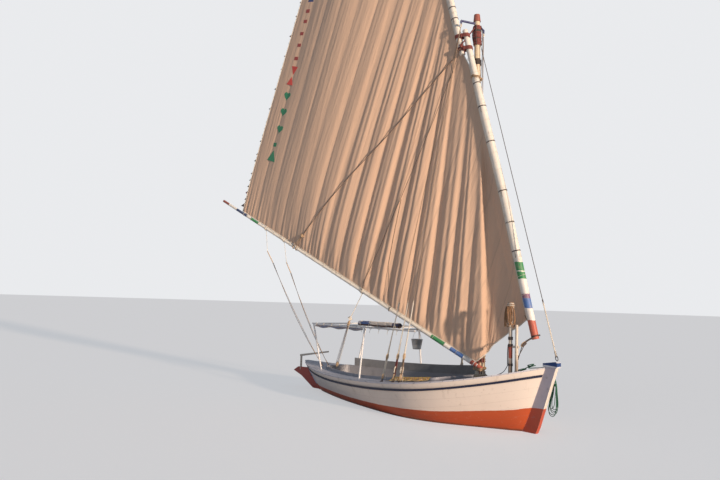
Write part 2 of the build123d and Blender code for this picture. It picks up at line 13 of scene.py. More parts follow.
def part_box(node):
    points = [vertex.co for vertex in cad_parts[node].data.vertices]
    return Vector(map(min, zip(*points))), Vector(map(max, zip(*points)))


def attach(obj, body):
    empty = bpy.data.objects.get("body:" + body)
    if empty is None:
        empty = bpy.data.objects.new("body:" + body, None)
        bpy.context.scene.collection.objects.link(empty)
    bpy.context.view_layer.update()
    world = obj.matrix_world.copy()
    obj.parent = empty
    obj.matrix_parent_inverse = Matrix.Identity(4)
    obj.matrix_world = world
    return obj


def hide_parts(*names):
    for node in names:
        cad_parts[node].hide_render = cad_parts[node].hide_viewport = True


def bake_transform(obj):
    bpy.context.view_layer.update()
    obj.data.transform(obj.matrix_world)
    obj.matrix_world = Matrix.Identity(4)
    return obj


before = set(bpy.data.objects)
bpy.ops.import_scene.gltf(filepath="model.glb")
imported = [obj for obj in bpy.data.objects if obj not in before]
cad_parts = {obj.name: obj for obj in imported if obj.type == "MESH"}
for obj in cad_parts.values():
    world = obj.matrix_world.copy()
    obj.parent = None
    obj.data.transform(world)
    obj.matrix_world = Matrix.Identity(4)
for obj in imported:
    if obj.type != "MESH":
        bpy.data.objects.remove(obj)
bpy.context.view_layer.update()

# The photograph's frame and the camera: place, heading, and the tilt from the horizon's height
FRAME_WIDTH = 720
FOCAL_PIXELS = 650
CAMERA_PLACE = Vector((13.003, -12.681, 2.85))
CAMERA_HEADING = Vector((-0.7661, 0.6427, 0.0))
HORIZON_PIXELS = 60.2
CAMERA_PITCH = atan(HORIZON_PIXELS / FOCAL_PIXELS)
CAMERA_ROLL = atan(0.031)
SENSOR = 36.0

# Hull lines, as in the construction
SHEER_LOW_X = -1.9
SHEER_LOW_Z = 0.7
SHEER_AFT_RADIUS = 33.5
SHEER_JOIN_X = 1.5
SHEER_FWD_RADIUS = 16.5
DECK_THICKNESS = 0.03
BORDER_LINE = [
    # x where the paint's border crosses each station, its height
    (-3.92, 0.16), (-3.25, 0.16), (-2.39, 0.17), (-0.9, 0.19), (1.0, 0.25),
    (2.23, 0.31), (3.24, 0.42), (3.88, 0.50), (4.15, 0.56),
]

# Mast and rig, as in the construction
MAST_X = 2.652
MAST_RAKE = radians(-1.7)
MAST_RUN = (tan(MAST_RAKE), 0, 1)
MAST_HEEL = 0.06
MAST_TOP = 10.15
MAST_FOOT_RADIUS = 0.105
MAST_TOP_RADIUS = 0.074
SAIL_ANGLE = radians(16)
YARD_SIDE = 0.205
BOOM_SIDE = 0.185
SAIL_SIDE = 0.165
LOWER_YARD = [
    # along, height, radius
    (-1.462, 2.080, 0.088), (-0.772, 5.380, 0.100), (-0.205, 7.790, 0.096), (0.250, 9.900, 0.068),
]
UPPER_YARD = [
    # along, height, radius
    (0.320, 9.250, 0.076), (0.465, 9.950, 0.083), (0.660, 10.820, 0.088), (1.175, 12.650, 0.082),
    (1.790, 14.600, 0.072), (2.490, 16.900, 0.055), (3.190, 19.200, 0.036),
]
BOOM_HEEL = (-0.120, 1.290)
BOOM_END = (8.828, 5.933)
BOOM_LENGTH = 10.08
BOOM_HEEL_RADIUS = 0.055
BOOM_END_RADIUS = 0.038

UP = Vector((0, 0, 1))


def sheer(x):
    """Height of the deck edge at x."""
    def aft(along):
        reach = along - SHEER_LOW_X
        return SHEER_LOW_Z + SHEER_AFT_RADIUS - sqrt(SHEER_AFT_RADIUS ** 2 - reach ** 2)

    if x <= SHEER_JOIN_X:
        return aft(x)
    lean = (SHEER_JOIN_X - SHEER_LOW_X) / SHEER_AFT_RADIUS
    centre_x = SHEER_JOIN_X - SHEER_FWD_RADIUS * lean
    centre_z = aft(SHEER_JOIN_X) + SHEER_FWD_RADIUS * sqrt(1 - lean ** 2)
    return centre_z - sqrt(SHEER_FWD_RADIUS ** 2 - (x - centre_x) ** 2)


def mast_point(height):
    """Place of the mast's axis at a height."""
    return Vector((MAST_X + height * tan(MAST_RAKE), 0, height))


def mast_radius(height):
    """Radius of the mast at a height."""
    share = (height - MAST_HEEL) / (MAST_TOP - MAST_HEEL)
    return MAST_FOOT_RADIUS + share * (MAST_TOP_RADIUS - MAST_FOOT_RADIUS)


def rig_point(along, height, side):
    """Place of a point of the rig: along the sail's plane, up, and to starboard of the mast."""
    axis_x = MAST_X + height * tan(MAST_RAKE)
    return Vector((axis_x - along * cos(SAIL_ANGLE) + side * sin(SAIL_ANGLE),
                   -along * sin(SAIL_ANGLE) - side * cos(SAIL_ANGLE), height))


def spar_at(table, height):
    """Distance along and radius of a spar at a height."""
    heights = [row[1] for row in table]
    along = np.interp(height, heights, [row[0] for row in table])
    radius = np.interp(height, heights, [row[2] for row in table])
    return float(along), float(radius)


def boom_at(distance, lift):
    """Along and height of the boom, a distance from its heel, lifted off its axis."""
    run = Vector((BOOM_END[0] - BOOM_HEEL[0], BOOM_END[1] - BOOM_HEEL[1])).normalized()
    return (BOOM_HEEL[0] + run.x * distance - run.y * lift, BOOM_HEEL[1] + run.y * distance + run.x * lift)


def boom_point(distance, side=BOOM_SIDE, lift=0.0):
    """Place on the boom, a distance from its heel, lifted off its axis in the sail's plane."""
    return rig_point(*boom_at(distance, lift), side)


# Directions of the rig: aft along the sail, to starboard of it, and out along the boom
RIG_ALONG = rig_point(1, 0, 0) - rig_point(0, 0, 0)
RIG_ASIDE = rig_point(0, 0, 1) - rig_point(0, 0, 0)
BOOM_RUN = (boom_point(1) - boom_point(0)).normalized()


# Shader groups

FLOAT = "NodeSocketFloat"
VECTOR = "NodeSocketVector"


def put(tree, kind, sockets=None, **settings):
    """Places a node, with its settings, and links or sets its inputs."""
    node = tree.nodes.new(kind)
    for name, value in settings.items():
        setattr(node, name, value)
    for socket, value in (sockets or {}).items():
        end = node.inputs[socket]
        if isinstance(value, bpy.types.NodeSocket):
            tree.links.new(value, end)
        elif end.type == "RGBA":
            end.default_value = (*value, 1.0)
        else:
            end.default_value = value
    return node


def reckon(tree, operation, *values):
    """A math node's value."""
    return put(tree, "ShaderNodeMath", dict(enumerate(values)), operation=operation).outputs[0]


def spread(tree, value, low, high, to_low=0.0, to_high=1.0):
    """A value eased from one range to another."""
    node = put(tree, "ShaderNodeMapRange",
               {"Value": value, "From Min": low, "From Max": high, "To Min": to_low, "To Max": to_high},
               interpolation_type="SMOOTHSTEP")
    return node.outputs["Result"]


def blend_colours(tree, share, first, second):
    """One colour laid over another by a share."""
    return put(tree, "ShaderNodeMix", {0: share, 6: first, 7: second}, data_type="RGBA").outputs[2]


def object_place(tree):
    """A point's place on its object."""
    return put(tree, "ShaderNodeTexCoord").outputs["Object"]


def parts_of(tree, vector):
    """A vector's three values."""
    return put(tree, "ShaderNodeSeparateXYZ", {0: vector}).outputs


def stretched(tree, vector, by):
    """A vector stretched along its axes."""
    return put(tree, "ShaderNodeVectorMath", {0: vector, 1: by}, operation="MULTIPLY").outputs[0]


def noise_at(tree, place, scale, detail, **more):
    """A soft noise over a place."""
    sockets = {"Vector": place, "Scale": scale, "Detail": detail, **more}
    return put(tree, "ShaderNodeTexNoise", sockets).outputs["Fac"]


def wavered(tree, value, noise, width):
    """A value that a noise moves to and fro within a width."""
    return reckon(tree, "ADD", value, reckon(tree, "MULTIPLY_ADD", noise, width, -width / 2))


def off_middle(tree, value):
    """Distance from the middle of a unit cell, 0.5 at the cell's edges."""
    return reckon(tree, "ABSOLUTE", reckon(tree, "SUBTRACT", reckon(tree, "FRACT", value), 0.5))


def tone_of(tree, value):
    """One random tone for each unit cell."""
    number = put(tree, "ShaderNodeCombineXYZ", {0: reckon(tree, "FLOOR", value)})
    noise = put(tree, "ShaderNodeTexWhiteNoise", {"Vector": number.outputs[0]}, noise_dimensions="3D")
    return noise.outputs["Value"]


def new_group(name, inputs, outputs):
    """A node group with named sockets: inputs are names, kinds and values, outputs are names."""
    tree = bpy.data.node_groups.new(name, "ShaderNodeTree")
    for socket, kind, value in inputs:
        made = tree.interface.new_socket(name=socket, in_out="INPUT", socket_type=kind)
        made.default_value = value
    for socket in outputs:
        tree.interface.new_socket(name=socket, in_out="OUTPUT", socket_type=FLOAT)
    return tree, put(tree, "NodeGroupInput").outputs, put(tree, "NodeGroupOutput").inputs


def make_patches():
    """Soft-edged patches for dirt and fading."""
    tree, given, result = new_group(
        "patches",
        [("Scale", FLOAT, 3.0), ("Coverage", FLOAT, 0.4), ("Softness", FLOAT, 0.2),
         ("Stretch", VECTOR, (1.0, 1.0, 1.0))],
        ["Mask"])
    place = stretched(tree, object_place(tree), given["Stretch"])
    noise = noise_at(tree, place, given["Scale"], 7.0, Roughness=0.62)
    edge = reckon(tree, "MULTIPLY_ADD", given["Coverage"], -0.5, 0.75)
    far_edge = reckon(tree, "ADD", edge, given["Softness"])
    tree.links.new(spread(tree, noise, edge, far_edge), result["Mask"])
    return tree


def make_edge_wear():
    """Rubbed edges: where a rounded edge's normal departs from the face's own."""
    tree, given, result = new_group(
        "edge_wear", [("Radius", FLOAT, 0.01), ("Breakup", FLOAT, 20.0)], ["Mask"])
    rounded = put(tree, "ShaderNodeBevel", {"Radius": given["Radius"]}, samples=4)
    flat = put(tree, "ShaderNodeNewGeometry")
    match = put(tree, "ShaderNodeVectorMath", {0: rounded.outputs[0], 1: flat.outputs["Normal"]},
                operation="DOT_PRODUCT")
    edge = spread(tree, match.outputs["Value"], 0.98, 0.80)
    noise = noise_at(tree, object_place(tree), given["Breakup"], 5.0, Roughness=0.7)
    tree.links.new(reckon(tree, "MULTIPLY", edge, spread(tree, noise, 0.42, 0.62)), result["Mask"])
    return tree


def make_grain():
    """Long wood grain along a stretched axis."""
    tree, given, result = new_group(
        "grain", [("Scale", FLOAT, 30.0), ("Stretch", VECTOR, (1.0, 1.0, 0.05))], ["Height"])
    place = stretched(tree, object_place(tree), given["Stretch"])
    noise = noise_at(tree, place, given["Scale"], 6.0, Roughness=0.65, Distortion=0.6)
    tree.links.new(spread(tree, noise, 0.35, 0.6), result["Height"])
    return tree


def make_weave():
    """Plain weave from two crossed sets of threads, with thick and thin yarns."""
    tree, given, result = new_group(
        "weave", [("Cloth", VECTOR, (0.0, 0.0, 0.0)), ("Threads", FLOAT, 400.0)], ["Height", "Slub"])
    phases = [reckon(tree, "MULTIPLY", run, given["Threads"]) for run in parts_of(tree, given["Cloth"])[:2]]
    heights = [reckon(tree, "ABSOLUTE", reckon(tree, "SINE", phase)) for phase in phases]
    tree.links.new(reckon(tree, "MULTIPLY", *heights), result["Height"])
    noise = noise_at(tree, stretched(tree, given["Cloth"], (60.0, 1.4, 1.0)), 1.0, 3.0)
    tree.links.new(spread(tree, noise, 0.35, 0.7), result["Slub"])
    return tree


def make_lay():
    """Strands of a laid rope, from the tube's own map: round it, and metres along it, with a mask of painted
    shade in the grooves.
    """
    tree, given, result = new_group(
        "lay", [("Strands", FLOAT, 3.0), ("Pitch", FLOAT, 0.05)], ["Height", "Groove Shade"])
    run = parts_of(tree, put(tree, "ShaderNodeUVMap", uv_map="run").outputs[0])
    around = reckon(tree, "MULTIPLY", run[0], given["Strands"])
    along = reckon(tree, "DIVIDE", run[1], given["Pitch"])
    phase = reckon(tree, "MULTIPLY", reckon(tree, "ADD", around, along), pi)
    ridge = reckon(tree, "ABSOLUTE", reckon(tree, "SINE", phase))
    tree.links.new(ridge, result["Height"])
    tree.links.new(spread(tree, ridge, 0.35, 0.0), result["Groove Shade"])
    return tree


def make_hull_lines():
    """Height above the paint's border, and depth below the deck edge."""
    tree, _, result = new_group("hull_lines", [], ["Above Border", "Below Deck"])
    x, _, z = parts_of(tree, object_place(tree))
    low_x, high_x, top_z = -5.0, 5.0, 2.0
    share = put(tree, "ShaderNodeMapRange", {"Value": x, "From Min": low_x, "From Max": high_x})
    border_rows = [(low_x, BORDER_LINE[0][1]), *BORDER_LINE, (high_x, BORDER_LINE[-1][1])]
    sheer_rows = [(at, sheer(at)) for at in np.linspace(low_x, high_x, 9)]
    for name, rows, sign in (("Above Border", border_rows, 1.0), ("Below Deck", sheer_rows, -1.0)):
        curve = put(tree, "ShaderNodeFloatCurve", {"Value": share.outputs["Result"]})
        points = curve.mapping.curves[0].points
        for i, (at, height) in enumerate(rows):
            place = ((at - low_x) / (high_x - low_x), height / top_z)
            point = points[i] if i < 2 else points.new(*place)
            point.location = place
        curve.mapping.update()
        line = reckon(tree, "MULTIPLY", curve.outputs[0], top_z)
        tree.links.new(reckon(tree, "MULTIPLY", reckon(tree, "SUBTRACT", z, line), sign), result[name])
    return tree


PATCHES = make_patches()
EDGE_WEAR = make_edge_wear()
GRAIN = make_grain()
WEAVE = make_weave()
LAY = make_lay()
HULL_LINES = make_hull_lines()


class Finish:
    """A material under way: its node tree, its shader, and short calls for the groups."""

    def __init__(self, name, roughness, **sockets):
        self.material = bpy.data.materials.new(name)
        self.material.use_nodes = True
        self.tree = self.material.node_tree
        self.shader = self.tree.nodes["Principled BSDF"]
        for socket, value in {"Roughness": roughness, **sockets}.items():
            self.shader.inputs[socket.replace("_", " ")].default_value = value

    def group(self, tree, **sockets):
        return put(self.tree, "ShaderNodeGroup", sockets, node_tree=tree).outputs

    def patches(self, scale, coverage, softness, stretch=(1.0, 1.0, 1.0)):
        return self.group(PATCHES, Scale=scale, Coverage=coverage, Softness=softness, Stretch=stretch)["Mask"]

    def grain(self, scale, stretch):
        return self.group(GRAIN, Scale=scale, Stretch=stretch)["Height"]

    def edges(self, radius, breakup):
        return self.group(EDGE_WEAR, Radius=radius, Breakup=breakup)["Mask"]

    def cloth(self, threads):
        """The cloth's own map, and the weave that runs along it."""
        run = put(self.tree, "ShaderNodeUVMap", uv_map="cloth").outputs[0]
        return run, self.group(WEAVE, Cloth=run, Threads=threads)

    def coats(self, shade, *layers):
        """A shade under coats, each a mask, the most that it covers, and a colour."""
        for mask, most, colour in layers:
            shade = blend_colours(self.tree, reckon(self.tree, "MULTIPLY", mask, most), shade, colour)
        return shade

    def colour(self, shade, *layers):
        self.feed("Base Color", self.coats(shade, *layers))

    def feed(self, socket, value):
        self.tree.links.new(value, self.shader.inputs[socket])

    def bump(self, height, distance, strength=1.0):
        """Raises the surface, over what is raised already."""
        before = self.shader.inputs["Normal"].links
        node = put(self.tree, "ShaderNodeBump", {"Height": height, "Distance": distance,
                                                 "Strength": strength})
        if before:
            self.tree.links.new(before[0].from_socket, node.inputs["Normal"])
        self.feed("Normal", node.outputs[0])


def darker(colour, by):
    """A colour scaled towards black."""
    return [value * by for value in colour]


def painted_wood(name, colour, worn=(0.36, 0.27, 0.18), roughness=0.5, stretch=(0.06, 1.0, 1.0),
                 dirt=0.35, wear=0.9):
    """Brush-painted timber: faded patches, grime, grain through the paint and rubbed edges."""
    finish = Finish(name, roughness)
    grain = finish.grain(26.0, stretch)
    faded = [min(1.0, value * 1.12 + 0.03) for value in colour]
    grimy = darker(colour, 0.62)
    finish.colour(colour,
                  (finish.patches(1.3, 0.5, 0.4), 0.8, faded),
                  (finish.patches(4.5, dirt, 0.25), 0.55, grimy),
                  (grain, 0.10, grimy),
                  (finish.edges(0.008, 22.0), wear, worn))
    finish.feed("Roughness", spread(finish.tree, finish.patches(7.0, 0.5, 0.4), 0.0, 1.0,
                                    roughness - 0.1, roughness + 0.15))
    finish.bump(grain, 0.0012, 0.5)
    return finish.material


def ringed_paint(name, start, step, rings):
    """A spar's paint: bands of colour by distance along it, over pale worn paint."""
    finish = Finish(name, 0.5)
    tree = finish.tree
    where = object_place(tree)
    place = put(tree, "ShaderNodeVectorMath", {0: where, 1: tuple(start)}, operation="SUBTRACT")
    along = put(tree, "ShaderNodeVectorMath", {0: place.outputs[0], 1: tuple(step)},
                operation="DOT_PRODUCT").outputs["Value"]
    along = wavered(tree, along, noise_at(tree, where, 9.0, 2.0), 0.04)
    bands = [(reckon(tree, "COMPARE", along, (low + high) / 2, (high - low) / 2), 1.0, ring)
             for low, high, ring in rings]
    grain = finish.grain(20.0, (1.0, 1.0, 0.06))
    finish.colour(SPAR_PALE,
                  (finish.patches(1.1, 0.55, 0.4), 0.7, darker(SPAR_PALE, 0.86)),
                  *bands,
                  (finish.patches(5.0, 0.42, 0.18), 0.55, (0.33, 0.27, 0.21)),
                  (grain, 0.14, (0.45, 0.38, 0.30)))
    finish.bump(grain, 0.0015, 0.6)
    return finish.material


def laid_rope(name, colour, dirt=0.35):
    """Three-strand rope with painted shade in its grooves, dirty in places."""
    finish = Finish(name, 0.85)
    lay = finish.group(LAY, Strands=3.0, Pitch=0.05)
    # The grooves between the strands get painted shade.
    finish.colour(colour,
                  (finish.patches(6.0, dirt, 0.3), 0.6, darker(colour, 0.6)),
                  (lay["Groove Shade"], 0.8, darker(colour, 0.45)))
    finish.bump(lay["Height"], 0.003)
    return finish.material


def hull_paint():
    """White topsides over orange red, with plank seams, run-down stains, and painted shade along the
    waterline, where the paint is glossier too.
    """
    finish = Finish("hull_paint", 0.42)
    tree = finish.tree
    lines = finish.group(HULL_LINES)
    where = object_place(tree)
    wobble = noise_at(tree, where, 5.0, 3.0)
    border = wavered(tree, lines["Above Border"], wobble, 0.02)
    runs = finish.patches(6.0, 0.42, 0.2, (1.0, 1.0, 0.10))
    rail_runs = reckon(tree, "MULTIPLY", runs, spread(tree, lines["Below Deck"], 0.55, 0.18))
    border_runs = reckon(tree, "MULTIPLY", spread(tree, border, 0.05, 0.0), runs)
    white = finish.coats((0.77, 0.69, 0.62),
                         (finish.patches(0.9, 0.5, 0.4), 0.8, (0.67, 0.60, 0.54)),
                         (rail_runs, 0.55, (0.40, 0.34, 0.28)),
                         (finish.patches(12.0, 0.30, 0.1), 0.35, (0.45, 0.38, 0.32)),
                         (border_runs, 0.5, (0.50, 0.30, 0.22)))
    red = finish.coats((0.47, 0.082, 0.022),
                       (finish.patches(1.6, 0.5, 0.35), 0.8, (0.36, 0.056, 0.020)),
                       (finish.patches(9.0, 0.34, 0.15), 0.35, (0.55, 0.27, 0.18)))
    # Painted shade: a dark band just above the water, where the hull turns under; the paint is also glossier
    # there.
    waterline_shade = spread(tree, wavered(tree, parts_of(tree, where)[2], wobble, 0.05), 0.075, 0.01)
    planks = reckon(tree, "DIVIDE", lines["Below Deck"], HULL_PLANK)
    seam = spread(tree, off_middle(tree, planks), 0.482, 0.497)
    finish.colour(red,
                  (reckon(tree, "GREATER_THAN", border, 0.0), 1.0, white),
                  (waterline_shade, 0.75, (0.10, 0.055, 0.035)),
                  (seam, 0.30, (0.22, 0.15, 0.11)))
    finish.feed("Roughness", spread(tree, waterline_shade, 0.0, 1.0, 0.42, 0.18))
    finish.bump(noise_at(tree, stretched(tree, where, (0.9, 0.0, 0.0)), 1.6, 2.0), 0.02, 0.35)
    finish.bump(reckon(tree, "SUBTRACT", 1.0, seam), 0.003, 0.7)
    return finish.material


def stem_paint():
    """The centreline timber: grey paint above the border, with a painted highlight on its forward-facing
    faces, and red below.
    """
    finish = Finish("stem_paint", 0.5)
    tree = finish.tree
    upper = reckon(tree, "GREATER_THAN", finish.group(HULL_LINES)["Above Border"], 0.0)
    facing = parts_of(tree, put(tree, "ShaderNodeNewGeometry").outputs["Normal"])
    # Painted highlight: faces turned forward, towards the key light, are pale cream above the border.
    front = reckon(tree, "MULTIPLY", reckon(tree, "GREATER_THAN", facing[0], 0.7), upper)
    grey = finish.coats((0.50, 0.47, 0.54), (finish.patches(2.0, 0.5, 0.35), 0.7, (0.40, 0.37, 0.44)))
    red = finish.coats((0.46, 0.085, 0.045), (finish.patches(3.0, 0.5, 0.35), 0.7, (0.34, 0.06, 0.035)))
    finish.colour(red,
                  (upper, 1.0, grey),
                  (finish.patches(8.0, 0.36, 0.15), 0.5, (0.25, 0.22, 0.22)),
                  (finish.edges(0.012, 14.0), 0.7, (0.70, 0.67, 0.66)),
                  (front, 0.85, (0.74, 0.69, 0.60)))
    finish.bump(finish.grain(20.0, (1.0, 1.0, 0.12)), 0.002, 0.6)
    return finish.material


def post_paint():
    """The foredeck posts: weathered cream, a red length on the taller one, and painted shade low down."""
    finish = Finish("post_paint", 0.55)
    tree = finish.tree
    where = object_place(tree)
    x, _, z = parts_of(tree, where)
    height = wavered(tree, z, noise_at(tree, where, 14.0, 3.0), 0.06)
    red = reckon(tree, "MULTIPLY", reckon(tree, "LESS_THAN", x, 3.80),
                 reckon(tree, "COMPARE", height, 1.79, 0.15))
    grain = finish.grain(26.0, (1.0, 1.0, 0.08))
    finish.colour((0.72, 0.64, 0.54),
                  (finish.patches(3.0, 0.5, 0.3), 0.7, (0.52, 0.43, 0.35)),
                  (red, 1.0, (0.43, 0.08, 0.05)),
                  # Painted shade: the posts turn dark brown towards the deck, below about 1.74 m.
                  (spread(tree, height, 1.74, 1.50), 0.75, (0.27, 0.19, 0.14)),
                  (finish.patches(11.0, 0.42, 0.2), 0.5, (0.30, 0.23, 0.18)),
                  (grain, 0.2, (0.36, 0.28, 0.22)))
    finish.bump(grain, 0.0015, 0.6)
    return finish.material


def cap_paint():
    """The stemhead cap: navy round its sides and nose, white on its top and its lower edge."""
    finish = Finish("cap_paint", 0.45)
    tree = finish.tree
    low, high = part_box("stemhead_cap")
    facing = parts_of(tree, put(tree, "ShaderNodeNewGeometry").outputs["Normal"])
    x, _, z = parts_of(tree, object_place(tree))
    upright = reckon(tree, "LESS_THAN", reckon(tree, "ABSOLUTE", facing[2]), 0.6)
    fall = reckon(tree, "MULTIPLY_ADD", x, -0.06, low[2] + 0.024 + 0.06 * high[0])
    navy = reckon(tree, "MULTIPLY", upright, reckon(tree, "GREATER_THAN", z, fall))
    blue = finish.coats((0.015, 0.055, 0.20), (finish.patches(12.0, 0.45, 0.2), 0.5, (0.03, 0.09, 0.24)))
    finish.colour((0.66, 0.68, 0.74),
                  (finish.patches(9.0, 0.5, 0.3), 0.6, (0.50, 0.52, 0.58)),
                  (navy, 1.0, blue),
                  (finish.edges(0.008, 20.0), 0.5, (0.40, 0.34, 0.30)))
    return finish.material


def deck_planks(name, colour, width=0.11):
    """Laid planks with dark seams, walked and weathered."""
    finish = Finish(name, 0.62)
    tree = finish.tree
    planks = reckon(tree, "DIVIDE", parts_of(tree, object_place(tree))[1], width)
    seam = spread(tree, off_middle(tree, planks), 0.455, 0.485)
    grain = finish.grain(26.0, (0.07, 1.0, 1.0))
    finish.colour(colour,
                  (tone_of(tree, planks), 0.5, darker(colour, 0.85)),
                  (finish.patches(2.2, 0.45, 0.3), 0.7, darker(colour, 0.55)),
                  (grain, 0.16, (0.35, 0.30, 0.26)),
                  (seam, 0.6, (0.12, 0.10, 0.09)))
    finish.bump(reckon(tree, "SUBTRACT", 1.0, seam), 0.003, 0.8)
    finish.bump(grain, 0.001, 0.5)
    return finish.material


def sail_cloth():
    """Hand-sewn cotton: seamed panels, thick and thin yarns, old dirt, and puckers along the seams."""
    finish = Finish("sail_cloth", 0.9, Sheen_Weight=0.15, Sheen_Roughness=0.6)
    tree = finish.tree
    run, weave = finish.cloth(700.0)
    panels = reckon(tree, "DIVIDE", parts_of(tree, run)[0], PANEL_WIDTH)
    seam = spread(tree, off_middle(tree, panels), 0.468, 0.478)
    finish.colour((0.62, 0.435, 0.315),
                  (tone_of(tree, panels), 0.5, (0.57, 0.395, 0.285)),
                  (weave["Slub"], 0.22, (0.50, 0.360, 0.270)),
                  (finish.patches(0.35, 0.5, 0.4), 0.45, (0.50, 0.375, 0.300)),
                  (finish.patches(2.5, 0.34, 0.2), 0.25, (0.38, 0.285, 0.225)),
                  (seam, 0.25, (0.36, 0.265, 0.205)))
    finish.bump(noise_at(tree, stretched(tree, run, (9.0, 0.5, 1.0)), 1.0, 4.0, Roughness=0.55), 0.035, 0.8)
    finish.bump(seam, 0.002, 0.8)
    finish.bump(weave["Height"], 0.0004, 0.5)
    return finish.material


def woven_cloth(name, colour, second=None, stripe=0.9):
    """A coarse cloth, plain or in stripes with a second colour."""
    finish = Finish(name, 0.9, Sheen_Weight=0.2)
    tree = finish.tree
    run, weave = finish.cloth(900.0)
    shade = colour
    if second:
        band = reckon(tree, "FRACT", reckon(tree, "DIVIDE", parts_of(tree, run)[1], stripe))
        shade = finish.coats(colour, (reckon(tree, "GREATER_THAN", band, 0.5), 1.0, second))
    finish.colour(shade,
                  (weave["Slub"], 0.25, darker(colour, 0.7)),
                  (finish.patches(5.0, 0.35, 0.3), 0.5, darker(colour, 0.5)))
    finish.bump(weave["Height"], 0.0008, 0.6)
    return finish.material


def rolled_canvas(middle, aft, fore):
    """The awning's roll: sun-bleached canvas, painted shade on its underside, and blue wraps at its ends."""
    finish = Finish("rolled_canvas", 0.9, Sheen_Weight=0.2)
    tree = finish.tree
    _, weave = finish.cloth(900.0)
    where = object_place(tree)
    x, _, z = parts_of(tree, where)
    wobble = noise_at(tree, where, 6.0, 3.0)
    height = wavered(tree, z, wobble, 0.05)
    place = wavered(tree, x, wobble, 0.16)
    finish.colour((0.74, 0.66, 0.57),
                  (finish.patches(4.0, 0.4, 0.3), 0.5, (0.50, 0.43, 0.38)),
                  (reckon(tree, "LESS_THAN", place, aft + 0.50), 1.0, (0.05, 0.11, 0.30)),
                  (reckon(tree, "LESS_THAN", place, aft + 0.14), 1.0, (0.42, 0.44, 0.52)),
                  (reckon(tree, "GREATER_THAN", place, fore - 0.22), 1.0, (0.04, 0.05, 0.12)),
                  # Painted shade: dark brown over the roll's lower half, below its middle height.
                  (reckon(tree, "LESS_THAN", height, middle - 0.012), 1.0, (0.075, 0.038, 0.030)),
                  (weave["Slub"], 0.25, (0.20, 0.15, 0.13)))
    finish.bump(weave["Height"], 0.0008, 0.6)
    return finish.material


def mat_cloth():
    """A woven mat in mustard, red and cream lozenges."""
    finish = Finish("mat_cloth", 0.95, Sheen_Weight=0.3)
    tree = finish.tree
    run, weave = finish.cloth(600.0)
    lozenge = reckon(tree, "ADD", *[off_middle(tree, reckon(tree, "DIVIDE", part, size))
                                    for part, size in zip(parts_of(tree, run), (0.16, 0.13))])
    finish.colour((0.62, 0.42, 0.10),
                  (reckon(tree, "LESS_THAN", lozenge, 0.36), 1.0, (0.48, 0.16, 0.07)),
                  (reckon(tree, "LESS_THAN", lozenge, 0.17), 1.0, (0.74, 0.64, 0.42)),
                  (weave["Slub"], 0.3, (0.30, 0.20, 0.08)),
                  (finish.patches(7.0, 0.4, 0.3), 0.4, (0.22, 0.16, 0.09)))
    finish.bump(weave["Height"], 0.002, 0.8)
    return finish.material


def metal_skin(name, colour, roughness=0.4, metallic=0.0, rust=0.3, worn=(0.24, 0.12, 0.07)):
    """Painted or bare metal with rust at its edges and in spots."""
    finish = Finish(name, roughness, Metallic=metallic)
    spots = finish.patches(14.0, rust, 0.12)
    finish.colour(colour,
                  (finish.patches(3.0, 0.5, 0.4), 0.5, darker(colour, 0.75)),
                  (spots, 0.7, worn),
                  (finish.edges(0.004, 40.0), 0.6, worn))
    finish.feed("Roughness", spread(finish.tree, spots, 0.0, 1.0, roughness, min(1.0, roughness + 0.35)))
    finish.bump(spots, 0.0006, 0.5)
    return finish.material


# Forms

def circle(first, second, steps):
    """Ways out from a centre, round from one direction to another."""
    return [first * cos(2 * pi * k / steps) + second * sin(2 * pi * k / steps) for k in range(steps)]


